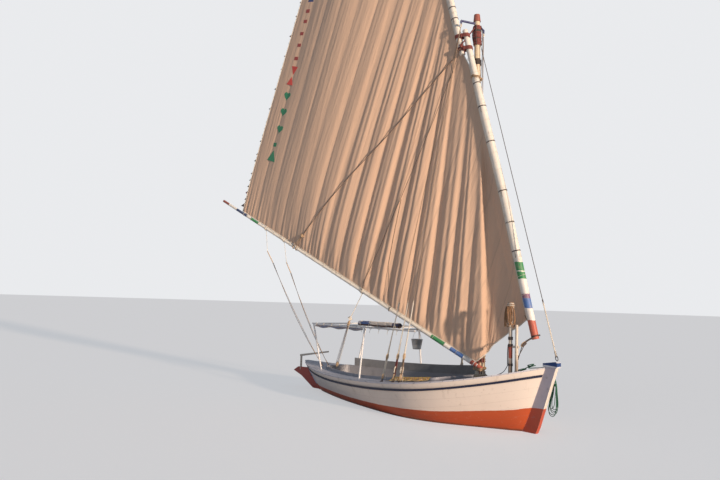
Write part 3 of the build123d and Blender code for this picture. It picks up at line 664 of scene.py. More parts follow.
class Form:
    """Points and faces of one piece, gathered from simple forms."""

    def __init__(self):
        self.points = []
        self.faces = []
        self.maps = []
        self.finishes = []

    def grid(self, rows, runs=None, around=False, ends=(False, False), finish=0):
        """Rows of points joined by faces. runs maps a corner, around closes rows, ends caps them."""
        first = len(self.points)
        height, width = len(rows), len(rows[0])
        across = width if around else width - 1
        runs = runs or (lambda a, b: (b / across, a / (height - 1)))
        for row in rows:
            self.points.extend(tuple(point) for point in row)
        for i in range(height - 1):
            for j in range(across):
                corners = ((i, j), (i, j + 1), (i + 1, j + 1), (i + 1, j))
                self.faces.append(tuple(first + a * width + b % width for a, b in corners))
                self.maps.append([runs(a, b) for a, b in corners])
                self.finishes.append(finish)
        for wanted, row in zip(ends, (0, height - 1)):
            if wanted:
                ring = [first + row * width + j for j in range(width)]
                self.faces.append(tuple(ring[::-1] if row == 0 else ring))
                self.maps.append([(0.0, 0.0)] * width)
                self.finishes.append(finish)

    def tube(self, line, radius, sides=8, finish=0, closed=False):
        """A round tube along points. radius is a number or one for each point."""
        line = [Vector(point) for point in line]
        count = len(line)
        radii = radius if hasattr(radius, "__len__") else [radius] * count
        rows = []
        lengths = lengths_along(line)
        normal = None
        for i, point in enumerate(line):
            before = line[i - 1] if i or closed else point
            after = line[(i + 1) % count] if i < count - 1 or closed else point
            run = (after - before).normalized()
            if normal is None:
                normal = run.orthogonal().normalized()
            normal = (normal - run * normal.dot(run)).normalized()
            rows.append([point + way * radii[i] for way in circle(normal, run.cross(normal), sides)])
        if closed:
            turn = min(range(sides), key=lambda j: (rows[0][0] - rows[-1][j]).length)
            rows.append(rows[0][sides - turn:] + rows[0][:sides - turn])
            lengths.append(lengths[-1] + (line[0] - line[-1]).length)
        self.grid(rows, lambda a, b: (b / sides, lengths[a]), around=True,
                  ends=(not closed, not closed), finish=finish)

    def ring(self, centre, axis, radii, rope, steps=20, sides=8, finish=0, towards=None):
        """A closed turn of rope round an axis."""
        self.tube(loop_round(centre, axis, radii, steps, towards), rope, sides, finish, True)

    def knot(self, place, tilts, radii, rope, finish=0):
        """A knot: turns of rope round one place, each tilted its own way."""
        for tilt in tilts:
            self.ring(place, tilt, radii, rope, 18, finish=finish)

    def turned(self, profile, base, axis=(0, 0, 1), sides=24, finish=0):
        """A form of revolution: profile rows are radius and height up the axis from base."""
        base = Vector(base)
        axis = Vector(axis).normalized()
        first = axis.orthogonal().normalized()
        ways = circle(first, axis.cross(first), sides)
        rows = [[base + axis * height + way * radius for way in ways] for radius, height in profile]
        self.grid(rows, around=True, ends=(True, True), finish=finish)

    def slab(self, outline, thickness, lift, finish=0):
        """A flat shape of a given thickness. lift turns an outline point and a side into a place."""
        first = len(self.points)
        count = len(outline)
        for side in (0.0, thickness):
            self.points.extend(tuple(lift(x, y, side)) for x, y in outline)
        self.faces.append(tuple(range(first + count - 1, first - 1, -1)))
        self.faces.append(tuple(range(first + count, first + 2 * count)))
        for j in range(count):
            k = (j + 1) % count
            self.faces.append((first + j, first + k, first + count + k, first + count + j))
        for face in self.faces[-count - 2:]:
            self.maps.append([(0.0, 0.0)] * len(face))
            self.finishes.append(finish)

    def piece(self, name, materials, body=None, slot=None, node=None, uv="run", smooth=True):
        """Makes the piece, lets it ride on a body, and hides the CAD node it replaces; the slot is not used.
        """
        mesh = bpy.data.meshes.new(name)
        mesh.from_pydata(self.points, [], self.faces)
        layer = mesh.uv_layers.new(name=uv)
        flat = [corner for face in self.maps for corner in face]
        layer.data.foreach_set("uv", [value for corner in flat for value in corner])
        for material in materials:
            mesh.materials.append(material)
        mesh.polygons.foreach_set("material_index", self.finishes)
        mesh.polygons.foreach_set("use_smooth", [smooth] * len(self.faces))
        mesh.update()
        made = bpy.data.objects.new(name, mesh)
        bpy.context.scene.collection.objects.link(made)
        if body:
            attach(made, body)
        if node:
            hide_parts(node)
        return made


def curve_through(points, steps=8):
    """A smooth line through points."""
    points = [Vector(p) for p in points]
    padded = [points[0] * 2 - points[1]] + points + [points[-1] * 2 - points[-2]]
    line = []
    for before, start, end, after in zip(padded, padded[1:], padded[2:], padded[3:]):
        for k in range(steps):
            t = k / steps
            line.append(0.5 * (2 * start + (end - before) * t
                               + (2 * before - 5 * start + 4 * end - after) * t ** 2
                               + (3 * start - before - 3 * end + after) * t ** 3))
    return line + [points[-1]]


def straight(start, end, steps=2):
    """Evenly spaced points from start to end."""
    start, end = Vector(start), Vector(end)
    return [start.lerp(end, k / steps) for k in range(steps + 1)]


def hanging(start, end, sag, steps=16):
    """A line that sags below the straight run between its ends."""
    return [point - Vector((0, 0, 4 * sag * (k / steps) * (1 - k / steps)))
            for k, point in enumerate(straight(start, end, steps))]


def loop_round(centre, axis, radii, steps=20, towards=None):
    """A closed loop round an axis. radii is one number, or two for an oval, the first of them towards."""
    axis = Vector(axis).normalized()
    first = Vector(towards) if towards else axis.orthogonal()
    first = (first - axis * first.dot(axis)).normalized()
    second = axis.cross(first)
    wide, deep = radii if hasattr(radii, "__len__") else (radii, radii)
    return [Vector(centre) + first * wide * cos(2 * pi * k / steps)
            + second * deep * sin(2 * pi * k / steps) for k in range(steps)]


def winding(start, end, reach, depth, turns, rope, steps=28, lift=(0, 0, 1)):
    """Turns of rope wound side by side round two places, as a stretched spiral."""
    start, end, lift = Vector(start), Vector(end), Vector(lift)
    run = end - start
    step = run.normalized()
    across = lift.cross(step).normalized()
    line = []
    for k in range(int(turns * steps) + 1):
        angle = 2 * pi * k / steps
        centre = end if cos(angle) > 0 else start
        line.append(centre + step * cos(angle) * (reach + rope) + across * sin(angle) * (reach + rope)
                    + lift * depth * (k / (turns * steps) - 0.5))
    return line


def tree_of(thing):
    """An object's surface, to set pieces down on."""
    return BVHTree.FromPolygons([vertex.co for vertex in thing.data.vertices],
                                [face.vertices[:] for face in thing.data.polygons])


# Sail

PANEL_WIDTH = 0.6
BELLY_DEPTH = 0.40
YARD_POCKET_DEPTH = 0.17
FOLD_DEPTH = 0.080
PANEL_DEPTH = 0.026
PUCKER_DEPTH = 0.016
HEAD_PUCKER_DEPTH = 0.006
FLAG_SPACING = 0.21
FOLD_SPACING = 0.62
FOLD_START = 1.6
# Cosines that turn a level distance from the yard, and an upright one from the boom, into square ones
SQUARE_TO_YARD = 0.968
SQUARE_TO_BOOM = 0.888
SAIL_COLUMNS = 430
SAIL_ROWS = 150
SAIL_THROAT = (-1.270, 2.52)
SAIL_FREE_EDGE = [(-0.80, 2.225), (-0.32, 1.855), (-0.15, 1.60)]
SAIL_TACK = 0.20
SAIL_CLEW = 9.14
SAIL_PEAK_HEIGHT = 19.05
# Shares of the foot at which the sail's fold lines start, and of the luff at which they end
FOOT_SHARES = [0, 0.14, 0.20, 0.30, 0.50, 0.70, 0.85, 1]
LUFF_SHARES = [0, 0.17, 0.33, 0.42, 0.53, 0.69, 0.84, 1]


def lengths_along(line):
    """Lengths from a line's start to each of its points."""
    lengths = [0.0]
    for before, after in zip(line, line[1:]):
        lengths.append(lengths[-1] + (after - before).length)
    return lengths


def yard_edge(height, gap=0.008):
    """Along and height of the yard's aft edge, at a height of its axis."""
    joint = np.clip((height - 8.95) / 0.7, 0, 1)
    low = spar_at(LOWER_YARD, min(height, LOWER_YARD[-1][1]))
    high = spar_at(UPPER_YARD, max(height, UPPER_YARD[0][1]))
    along = (1 - joint) * (low[0] + low[1]) + joint * (high[0] + high[1])
    return along + gap, height - 0.02


def walk(points, shares):
    """Points along a path at shares of its length."""
    points = np.array(points)
    lengths = np.concatenate([[0], np.cumsum(np.linalg.norm(np.diff(points, axis=0), axis=1))])
    return np.stack([np.interp(shares * lengths[-1], lengths, points[:, k]) for k in (0, 1)], -1), lengths[-1]


def sail_plan():
    """The sail's lines in its own plane: a grid of along and height, and each column's foot distance."""
    foot = [SAIL_THROAT, *SAIL_FREE_EDGE, boom_at(SAIL_TACK, 0.075)]
    foot += [boom_at(distance, 0.062) for distance in np.linspace(SAIL_TACK + 0.4, SAIL_CLEW, 12)]
    luff = [yard_edge(height) for height in np.linspace(SAIL_THROAT[1] + 0.02, SAIL_PEAK_HEIGHT, 50)]
    shares = np.linspace(0, 1, SAIL_COLUMNS)
    low, foot_length = walk(foot, shares)
    high, _ = walk(luff, np.interp(shares, FOOT_SHARES, LUFF_SHARES))
    rise = np.linspace(0, 1, SAIL_ROWS)[:, None, None]
    return low * (1 - rise) + high * rise, shares * foot_length


def ease(value, low, high):
    """A smooth rise from 0 to 1 between two values."""
    share = np.clip((value - low) / (high - low), 0, 1)
    return share * share * (3 - 2 * share)


def near(distance, reach):
    """1 at no distance, and less and less over a reach."""
    return np.exp(-distance / reach)


def sail_shape():
    """Places of the sail's grid, with its belly, folds, panels and puckers, and its cloth's map."""
    plan, foot_run = sail_plan()
    along, height = plan[..., 0], plan[..., 1]
    rise = np.linspace(0, 1, SAIL_ROWS)[:, None]
    heights = np.linspace(2, SAIL_PEAK_HEIGHT + 1, 80)
    edges = np.array([yard_edge(z) for z in heights])
    from_yard = np.maximum(0, along - np.interp(height, heights, edges[:, 0])) * SQUARE_TO_YARD
    slope = (BOOM_END[1] - BOOM_HEEL[1]) / (BOOM_END[0] - BOOM_HEEL[0])
    above_boom = np.maximum(0, height - BOOM_HEEL[1] - (along - BOOM_HEEL[0]) * slope - 0.06)
    above_boom *= SQUARE_TO_BOOM
    clew, peak = plan[0, -1], plan[-1, -1]
    leech = (peak - clew) / np.linalg.norm(peak - clew)
    from_leech = (clew[0] - along) * leech[1] - (clew[1] - height) * leech[0]
    up_leech = (along - clew[0]) * leech[0] + (height - clew[1]) * leech[1]

    past_mast = np.maximum(0, along - 0.10)
    chord = past_mast / (past_mast + np.maximum(from_leech, 0) + 0.01)
    belly = BELLY_DEPTH * (ease(chord, 0.02, 0.74) - 0.74 * ease(chord, 0.62, 1.04))
    belly *= (1 - near(above_boom, 1.1)) * np.clip((17.8 - height) / 6, 0.3, 1)
    belly -= YARD_POCKET_DEPTH * ease(-along, 0.13, 0.23) * ease(from_yard, 0.0, 0.30)

    run = foot_run[None, :] - FOLD_START
    phase = 2 * pi * run / FOLD_SPACING + 0.7 * np.sin(1.35 * run) + 0.5 * rise * np.sin(0.8 * run + 1)
    fold = 0.72 * np.sin(phase) + 0.24 * np.sin(2 * phase + 0.9) + 0.14 * np.sin(3.3 * phase + 2)
    reach = np.clip((run + 0.5) / 0.9, 0, 1) * np.clip((6.8 - run) / 3.2, 0, 1)
    fold = fold * reach * FOLD_DEPTH * (1 - 0.50 * rise) * (1 - near(from_yard, 0.8))
    fold *= 1 - near(above_boom, 0.25)

    panel = np.abs(np.sin(pi * from_leech / PANEL_WIDTH)) ** 0.7 - 0.6
    panel = PANEL_DEPTH * panel * (1 - near(from_yard, 0.6)) * (1 - near(above_boom, 0.5))
    panel *= 1 - 0.6 * reach

    fine = foot_run[None, :]
    pucker = np.sin(2 * pi * fine / 0.137 + 1.1 * np.sin(3.1 * fine)) * (0.6 + 0.4 * np.sin(1.9 * fine))
    pucker += 0.5 * np.sin(2 * pi * fine / 0.231 + 2)
    pucker = PUCKER_DEPTH * pucker * near(above_boom, 0.55) * (1 - near(above_boom, 0.05))
    head = 2 * pi * up_leech / 0.43
    pucker += HEAD_PUCKER_DEPTH * np.sin(head) * near(from_yard, 0.22) * (1 - near(from_yard, 0.03))

    side = 0.176 + 0.030 * near(from_yard, 0.3) + 0.010 * near(above_boom, 0.3)
    side = side + belly + fold + panel + pucker
    beside_mast = (np.abs(along) < 0.14) & (height < 10.3)
    side = np.where(beside_mast, np.maximum(side, 0.125), side)
    points = [[rig_point(*place) for place in zip(*rows)] for rows in zip(along, height, side)]
    return points, from_leech, up_leech


def make_sail():
    """The sail: one sheet of seamed cotton, laced to the yard and the boom."""
    points, from_leech, up_leech = sail_shape()
    form = Form()
    form.grid(points, lambda a, b: (from_leech[a, b], up_leech[a, b]))
    sail = form.piece("sail_cloth", [sail_cloth()], "rig", "sail_canvas", "sail", uv="cloth")
    return sail, points


sail, sail_points = make_sail()
sail_tree = tree_of(sail)
LEECH_STEP = Vector((-0.334, 0.943))


def on_sail(along, height, proud=0.0):
    """Place on the sail's starboard side, a little proud of it."""
    away = rig_point(0, 0, -1) - rig_point(0, 0, 0)
    hit = sail_tree.ray_cast(rig_point(along, height, 1.5), away)[0]
    if hit is None:
        hit = rig_point(along, height, SAIL_SIDE)
    return hit - away * proud


def rope_edge():
    """The sail's bolt rope, round its foot, leech and luff."""
    form = Form()
    foot, luff = sail_points[0], sail_points[-1]
    leech = [row[-1] for row in sail_points]
    form.tube(foot[::3] + leech[::3], 0.013)
    form.tube(luff[::4] + [luff[-1]], 0.012)
    form.piece("sail_bolt_rope", [ROPE_WHITE], "rig", "lashing_rope")


HEART = [(16 * sin(t) ** 3 / 34, (13 * cos(t) - 5 * cos(2 * t) - 2 * cos(3 * t) - cos(4 * t) + 2.5) / 34)
         for t in np.linspace(0, 2 * pi, 28, endpoint=False)]
TRIANGLE = [(-0.5, -0.45), (0.5, -0.45), (0.0, 0.5)]
UPSIDE_DOWN = [(0.5, 0.45), (-0.5, 0.45), (0.0, -0.5)]
DASH = [(-0.5, -0.28), (0.4, -0.4), (0.5, 0.28), (-0.4, 0.4)]
NAVY, DARK_RED, RED, GREEN = range(4)
MOTIFS = [
    # along, height, shape, size, colour
    (5.25, 11.91, DASH, 0.24, NAVY),
    (5.37, 11.56, DASH, 0.16, DARK_RED),
    (5.46, 11.25, DASH, 0.15, DARK_RED),
    (5.59, 10.89, DASH, 0.15, DARK_RED),
    (5.68, 10.54, DASH, 0.15, DARK_RED),
    (5.79, 10.14, DASH, 0.16, DARK_RED),
    (5.86, 9.77, UPSIDE_DOWN, 0.27, RED),
    (5.99, 9.46, TRIANGLE, 0.27, RED),
    (6.11, 8.99, HEART, 0.30, GREEN),
    (6.24, 8.50, HEART, 0.30, GREEN),
    (6.37, 7.98, HEART, 0.30, GREEN),
    (6.56, 7.53, DASH, 0.17, GREEN),
    (6.66, 7.19, TRIANGLE, 0.36, GREEN),
]
# Above the photograph's frame the trim goes on in the same order
UPPER_MOTIFS = [(MOTIFS[0][0] - (row[0] - MOTIFS[0][0]), MOTIFS[0][1] + (MOTIFS[0][1] - row[1]), *row[2:])
                for row in MOTIFS[1:]]


def appliques():
    """Coloured cloth shapes sewn in a row beside the leech."""
    form = Form()
    across = Vector((LEECH_STEP.y, -LEECH_STEP.x))
    for along, height, shape, size, colour in MOTIFS + UPPER_MOTIFS:
        def lift(x, y, side, along=along, height=height, size=size):
            place = Vector((along, height)) + across * x * size + LEECH_STEP * y * size
            return on_sail(place.x, place.y, 0.004 - side)
        form.slab(shape, 0.008, lift, finish=colour)
    cloths = [woven_cloth("applique_" + name, colour) for name, colour in (
        ("navy", (0.03, 0.05, 0.18)), ("dark_red", (0.30, 0.05, 0.05)),
        ("red", (0.62, 0.06, 0.05)), ("green", (0.02, 0.24, 0.12)))]
    form.piece("sail_appliques", cloths, "rig", "sail_canvas", uv="cloth", smooth=False)


def leech_flags():
    """Small dark cloth flags sewn along the leech."""
    form = Form()
    low, high = sail_points[0][-1], sail_points[-1][-1]
    step = (high - low).normalized()
    count = int((high - low).length / FLAG_SPACING)
    for k in range(1, count):
        place = low.lerp(high, k / count)
        tip = place + RIG_ALONG.normalized() * (0.115 + 0.02 * sin(1.7 * k)) - step * 0.03
        corners = [place - step * 0.075, place + step * 0.075, tip + 0.03 * sin(2.4 * k) * RIG_ASIDE]
        form.slab([(0, 0), (1, 0), (2, 0)], 0.004,
                  lambda x, y, side, corners=corners: corners[int(x)] + RIG_ASIDE * (side - 0.002),
                  finish=0 if k % 3 else 1)
    form.piece("leech_flags", [CLOTH_DARK, CLOTH_DARK_RED], "rig", "sail_canvas", uv="cloth", smooth=False)


def yard_point(table, height):
    """Place on a yard's axis at a height."""
    return rig_point(spar_at(table, height)[0], height, YARD_SIDE)


def yard_step(table, height):
    """The yard's direction at a height."""
    low, high = table[0][1], table[-1][1]
    return (yard_point(table, min(high, height + 0.3))
            - yard_point(table, max(low, height - 0.3))).normalized()


# Heights of the dark whippings on the yard
DARK_BANDS = [4.13, 4.82, 5.60, 6.86, 7.79, 8.42, 10.26, 10.58]


def yard_at(height, joint=9.0):
    """Centre, direction and radius of the yard at a height, on its upper spar from the joint up."""
    table = LOWER_YARD if height < joint else UPPER_YARD
    return yard_point(table, height), yard_step(table, height), spar_at(table, height)[1]


def spar_whippings():
    """Dark turns of small line round the yard, with hanging ends."""
    form = Form()
    for height in DARK_BANDS:
        centre, step, radius = yard_at(height)
        for turn in (-0.5, 0.5):
            form.ring(centre + step * turn * 0.014, step, radius + 0.003, 0.0065, 28, 6)
    for height in DARK_BANDS[::2]:
        centre, step, radius = yard_at(height)
        start = centre + RIG_ASIDE * (radius + 0.012)
        form.tube(hanging(start, start - step * 0.12 + Vector((0, 0, -0.05)), 0.01, 6), 0.005, 6)
    form.piece("yard_whippings", [ROPE_DARK], "rig", "lashing_rope")


def robands():
    """Light lacing that holds the sail to the yard and to the boom."""
    form = Form()
    for height in np.arange(3.1, 18.9, 0.43):
        centre, step, radius = yard_at(height, 9.2)
        form.ring(centre + 0.012 * RIG_ALONG, step + 0.22 * RIG_ALONG, (radius + 0.016, radius + 0.008),
                  0.0045, 28, 6, towards=RIG_ALONG)
    for distance in np.arange(0.75, 9.1, 0.36):
        radius = BOOM_HEEL_RADIUS + (BOOM_END_RADIUS - BOOM_HEEL_RADIUS) * distance / BOOM_LENGTH
        form.ring(boom_point(distance, lift=0.012), BOOM_RUN + 0.2 * UP, (radius + 0.018, radius + 0.007),
                  0.0045, 24, 6, towards=UP)
    form.piece("sail_robands", [ROPE_WHITE], "rig", "lashing_rope")


def spar_lashings():
    """Rope turns that hold the yard's two spars together."""
    form = Form()
    rope = 0.011
    for height in (9.4, 9.75):
        lift = yard_step(UPPER_YARD, height)
        start, end = yard_point(LOWER_YARD, height), yard_point(UPPER_YARD, height)
        run = (end - start).normalized()
        reach = max(spar_at(LOWER_YARD, height)[1], spar_at(UPPER_YARD, height)[1])
        form.tube(winding(start, end, reach, 0.10, 5, rope, lift=lift), rope)
        middle = (start + end) / 2
        across = lift.cross(run)
        for turn in (-1, 0, 1):
            form.ring(middle + run * turn * 0.016, run, (0.066, reach + rope * 2.4), 0.008, 22, 6,
                      towards=lift)
        form.tube(hanging(middle + across * (reach + 0.03), middle + across * 0.12 - lift * 0.18, 0.02),
                  0.007, 6)
    form.piece("yard_spar_lashings", [ROPE_DARK_RED], "rig", "lashing_rope", "yard_lashings")


def ring_ropes():
    """The parrel that holds the yard to the mast, and the grommet at the boom's heel."""
    for name, node, height, along, side, radius in (
            ("parrel_rope", "yard_parrel", 8.6, spar_at(LOWER_YARD, 8.6)[0], YARD_SIDE,
             spar_at(LOWER_YARD, 8.6)[1]),
            ("heel_grommet_rope", "boom_grommet", BOOM_HEEL[1], BOOM_HEEL[0] + 0.1, BOOM_SIDE,
             BOOM_HEEL_RADIUS)):
        form = Form()
        mast = mast_radius(height) + 0.003
        for turns, pitch, reach, rope in (((-1, 0, 1), 0.026, 0.012, 0.0125),
                                          ((-0.5, 0.5), 0.024, 0.034, 0.0115)):
            for turn in turns:
                form.ring(mast_point(height + pitch * turn), MAST_RUN, mast + reach, rope, 28)
        form.tube(winding(mast_point(height), rig_point(along, height, side), max(radius, mast) + 0.001,
                          0.075, 3, 0.010), 0.010)
        form.piece(name, [ROPE_BROWN], "rig", "lashing_rope", node)


# Standing rigging

ARM_REACH = (-0.15, 0.45)
ARM_HEIGHT = MAST_TOP - 0.06
EYE_DROP = 0.08
THIMBLE_LENGTH = 0.07
# Feet of one side's shrouds: x, distance from the centreline
SHROUD_FEET = [(0.70, 1.50), (1.12, 1.51), (1.35, 1.50)]
SHROUD_BLOCK_HEIGHT = 0.56
MAINSHEET_DISTANCE = 3.92
SHROUD_PENDANT = 0.213
BLOCK_LENGTH = 0.15
FORESTAY_TOP = MAST_TOP - 0.25
FORESTAY_FOOT = Vector((4.77, 0, 1.632))


def pulley(form, place, line, finish, length=0.15, width=0.085, depth=0.06):
    """A wooden block on a line: a rounded shell with a strop round it, broad towards the bow."""
    line = line.normalized()
    aside = Vector((1, 0, 0))
    aside = (aside - line * aside.dot(line)).normalized()
    across = line.cross(aside)
    ways = circle(aside * width / 2, across * depth / 2, 16)
    angles = [pi * k / 12 for k in range(13)]
    form.grid([[place - line * cos(angle) * length / 2 + way * max(sin(angle) ** 0.6, 0.05) for way in ways]
               for angle in angles], around=True, ends=(True, True), finish=finish)
    strop = circle(line * (length / 2 + 0.012), across * (depth / 2 + 0.008), 24)
    form.tube([place + way for way in strop], 0.007, 6, closed=True, finish=1)


def shrouds(side, name, node):
    """Three shrouds of one side, each set up with a block, a lanyard and an eye in the deck."""
    form = Form()
    top = Vector((mast_point(ARM_HEIGHT).x + ARM_REACH[0], side * ARM_REACH[1], ARM_HEIGHT - EYE_DROP))
    start = top - THIMBLE_LENGTH / 2 * UP
    form.ring(start, (1, 0, 0), (THIMBLE_LENGTH / 2 + 0.004, 0.022), 0.012, towards=UP)
    for index, (x, half) in enumerate(SHROUD_FEET):
        foot = Vector((x, side * half, sheer(x) + DECK_THICKNESS))
        line = (start - foot).normalized()
        aside = line.cross(Vector((0, 1, 0))).normalized()
        upper = foot + line * (SHROUD_BLOCK_HEIGHT + BLOCK_LENGTH)
        middle = foot + line * (SHROUD_BLOCK_HEIGHT + BLOCK_LENGTH / 2)
        lower = foot + line * 0.13
        change = foot.lerp(start, SHROUD_PENDANT)
        form.tube(straight(upper, change, 16), 0.0135)
        form.tube(straight(change - line * 0.10, start, 30), 0.0065, finish=3)
        form.tube(winding(change, change + line * 0.004, 0.010, 0.09, 6, 0.005, lift=line), 0.005, 6)
        splice = straight(upper - line * 0.01, upper + line * 0.42, 12)
        form.tube(splice, [0.020 - 0.006 * k / 12 for k in range(13)])
        pulley(form, middle, line, 1)
        pulley(form, lower, line, 1, 0.12, 0.07, 0.05)
        for shift in (-0.028, -0.010, 0.010, 0.028):
            form.tube(straight(lower + aside * shift + line * 0.03, middle + aside * shift * 0.9
                               - line * 0.03, 6), 0.0075, 6, finish=(0, 4, 3)[index])
        form.tube(winding(foot + line * 0.30, foot + line * 0.305, 0.03, 0.10, 5, 0.007, lift=line), 0.007, 6)
        tail = foot + line * 0.27 + aside * 0.03
        form.tube(curve_through([tail, tail + Vector((0.05, -0.02 * side, -0.10)),
                                 tail + Vector((0.02, -0.05 * side, -0.22 - 0.02 * index))], 6), 0.006, 6)
        form.ring(foot + line * 0.035, (1, 0, 0), (0.032, 0.026), 0.009, 18, finish=2, towards=UP)
        form.turned([(0.05, -0.004), (0.05, 0.006), (0.02, 0.012), (0.014, 0.03)], foot, line, 16, 2)
    form.piece(name, [ROPE_WHITE, BLOCK_WOOD, IRON, ROPE_TAN, ROPE_DARK_RED], "boat", "shroud_rope", node)


def forestay():
    """The stay from the masthead to the stem, dark wire above and bright rope below."""
    form = Form()
    top, foot = mast_point(FORESTAY_TOP), FORESTAY_FOOT
    line = (foot - top).normalized()
    joint = foot - line * 1.35
    form.tube(straight(top + line * 0.10, joint, 60), 0.008)
    form.ring(top, MAST_RUN, mast_radius(FORESTAY_TOP) + 0.012, 0.011, 26)
    for aside in (-0.011, 0.011):
        aside = Vector((0, aside, 0))
        form.tube(straight(joint + aside, foot - line * 0.12 + aside, 20), 0.0085, finish=1)
    form.tube(winding(joint, joint + line * 0.004, 0.014, 0.12, 8, 0.005, lift=line), 0.005, 6)
    form.ring(foot - line * 0.08, (0, 1, 0), (0.055, 0.03), 0.009, finish=2, towards=line)
    form.tube(winding(foot - line * 0.18, foot - line * 0.176, 0.02, 0.10, 6, 0.006, lift=line), 0.006, 6)
    form.piece("forestay_rope", [ROPE_DARK, ROPE_WHITE, IRON], "boat", "stay_rope", "forestay")


def masthead_rigging():
    """Ropes seized round the masthead, with the strop that takes the yard's lift."""
    form = Form()
    for turn in range(19):
        height = 9.52 + 0.0275 * turn
        reach = mast_radius(height) + 0.011 + 0.010 * sin(pi * turn / 18) + 0.006 * (turn % 3 == 1)
        form.ring(mast_point(height), (0.06 * sin(2.1 * turn), 0.06 * cos(1.7 * turn), 1), reach, 0.0155,
                  26, finish=1 if turn in (6, 13, 14) else 0)
    form.tube(winding(mast_point(9.05), mast_point(9.05) + Vector((0.001, 0, 0)), mast_radius(9) + 0.002,
                      0.16, 6, 0.010), 0.010, finish=1)
    for angle in (0.6, 2.2, 3.5, 5.2):
        out = Vector((cos(angle), sin(angle), 0))
        start = mast_point(10.04) + out * (mast_radius(10) + 0.025)
        end = mast_point(9.50) + out * (mast_radius(9.6) + 0.02 + 0.015 * sin(angle * 3))
        form.tube(curve_through([start, start.lerp(end, 0.45) + out * 0.04, end], 8), 0.010, finish=1)
    form.piece("masthead_seizings", [ROPE_DARK_RED, ROPE_DARK], "boat", "lashing_rope")
    strop = Form()
    knot = rig_point(0.30, 9.45, 0.33)
    eye = mast_point(9.98) + Vector((0, -mast_radius(9.98) - 0.012, 0))
    for aside in (-0.014, 0.014):
        aside = Vector((aside, 0, 0))
        strop.tube(hanging(eye + aside, knot + aside + 0.03 * UP, 0.01, 10), 0.011, finish=4)
    strop.knot(knot, ((0.3, 0.2, 1), (1, 0.2, 0.3), (0.2, 1, 0.1)), (0.045, 0.036), 0.014, 4)
    crossing("lift_strop", strop)


def taut_over(stops, proud, steps=60):
    """A taut line over the sail through stops of along and height, that touches only its folds' crests."""
    places = walk(stops, np.linspace(0, 1, steps))[0]
    sides = [RIG_ASIDE.dot(on_sail(along, height) - rig_point(0, height, 0)) + proud
             for along, height in places]
    level = list(sides)
    for i in range(steps):
        for j in range(i + 2, steps):
            for k in range(i + 1, j):
                t = (k - i) / (j - i)
                level[k] = max(level[k], sides[i] * (1 - t) + sides[j] * t)
    return [rig_point(along, height, side) for (along, height), side in zip(places, level)]


def boom_lifts():
    """Lines over the sail's starboard side that carry the boom."""
    form = Form()
    top = rig_point(0.30, 9.42, 0.33)
    main = taut_over([(0.62, 9.15), (2.457, 7.333), (4.107, 5.866), (5.33, 4.74)], 0.014)
    for aside, finish in ((-0.011, 3), (0.011, 0)):
        lift = Vector((aside, 0, aside))
        form.tube([point + lift for point in [top] + main], 0.0085, finish=finish)
    knot = on_sail(5.40, 4.68, 0.035)
    form.knot(knot, ((1, 0.2, 0.4), (0.2, 1, 0.5), (0.4, 0.1, 1)), (0.05, 0.04), 0.016, 1)
    for distance in (6.58, 6.70):
        form.tube(straight(knot, boom_point(distance, BOOM_SIDE + 0.05), 8), 0.010, finish=1)
        form.ring(boom_point(distance), BOOM_RUN, 0.058, 0.011, finish=1)
    inner = taut_over([(0.60, 8.85), (1.158, 7.564), (2.088, 5.557), (2.768, 4.229), (3.30, 3.32)], 0.010)
    form.tube([top] + inner + [boom_point(MAINSHEET_DISTANCE, BOOM_SIDE + 0.06)], 0.0065)
    branch = taut_over([(2.088, 5.557), (2.299, 4.666), (2.50, 3.80)], 0.010, 30)
    form.tube(branch + [boom_point(2.93, BOOM_SIDE + 0.05)], 0.0055)
    form.ring(boom_point(2.93), BOOM_RUN, 0.060, 0.009)
    for turn in range(3):
        form.ring(boom_point(3.90 + 0.022 * turn), BOOM_RUN, 0.062, 0.010, finish=2)
    form.piece("boom_topping_lifts", [ROPE_DARK, ROPE_BROWN, ROPE_WHITE, ROPE_TAN], "rig", "lashing_rope")


# Running rigging between the boom and the boat

def crossing(name, form):
    """A piece that joins the rig to the boat, its place baked into its points."""
    piece = form.piece(name, [ROPE_WHITE, ROPE_BROWN, BLOCK_WOOD, ROPE_DARK, ROPE_DARK_RED])
    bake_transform(piece)


def mainsheet():
    """The sheet from the boom's middle to the awning's bar and on down to the stern."""
    form = Form()
    start = boom_point(MAINSHEET_DISTANCE)
    knot = rig_point(3.60, 2.35, 0.42)
    end = Vector((-1.60, -1.16, 0.94))
    form.tube(straight(start - 0.05 * UP, knot, 10), 0.010)
    form.knot(knot, ((1, 0.2, 0.4), (0.2, 1, 0.5), (0.4, 0.2, 1)), (0.055, 0.042), 0.015)
    line = (end - knot).normalized()
    upper, lower = knot + line * 0.16, end - line * 0.12
    pulley(form, upper, line, 2)
    pulley(form, lower, line, 2)
    aside = line.cross(Vector((0, 1, 0))).normalized()
    for shift, finish in ((-1.0, 0), (-0.3, 4), (0.35, 1), (1.0, 0)):
        form.tube(straight(upper + aside * shift * 0.030, lower + aside * shift * 0.065, 12), 0.006,
                  finish=finish)
    crossing("mainsheet_tackle", form)


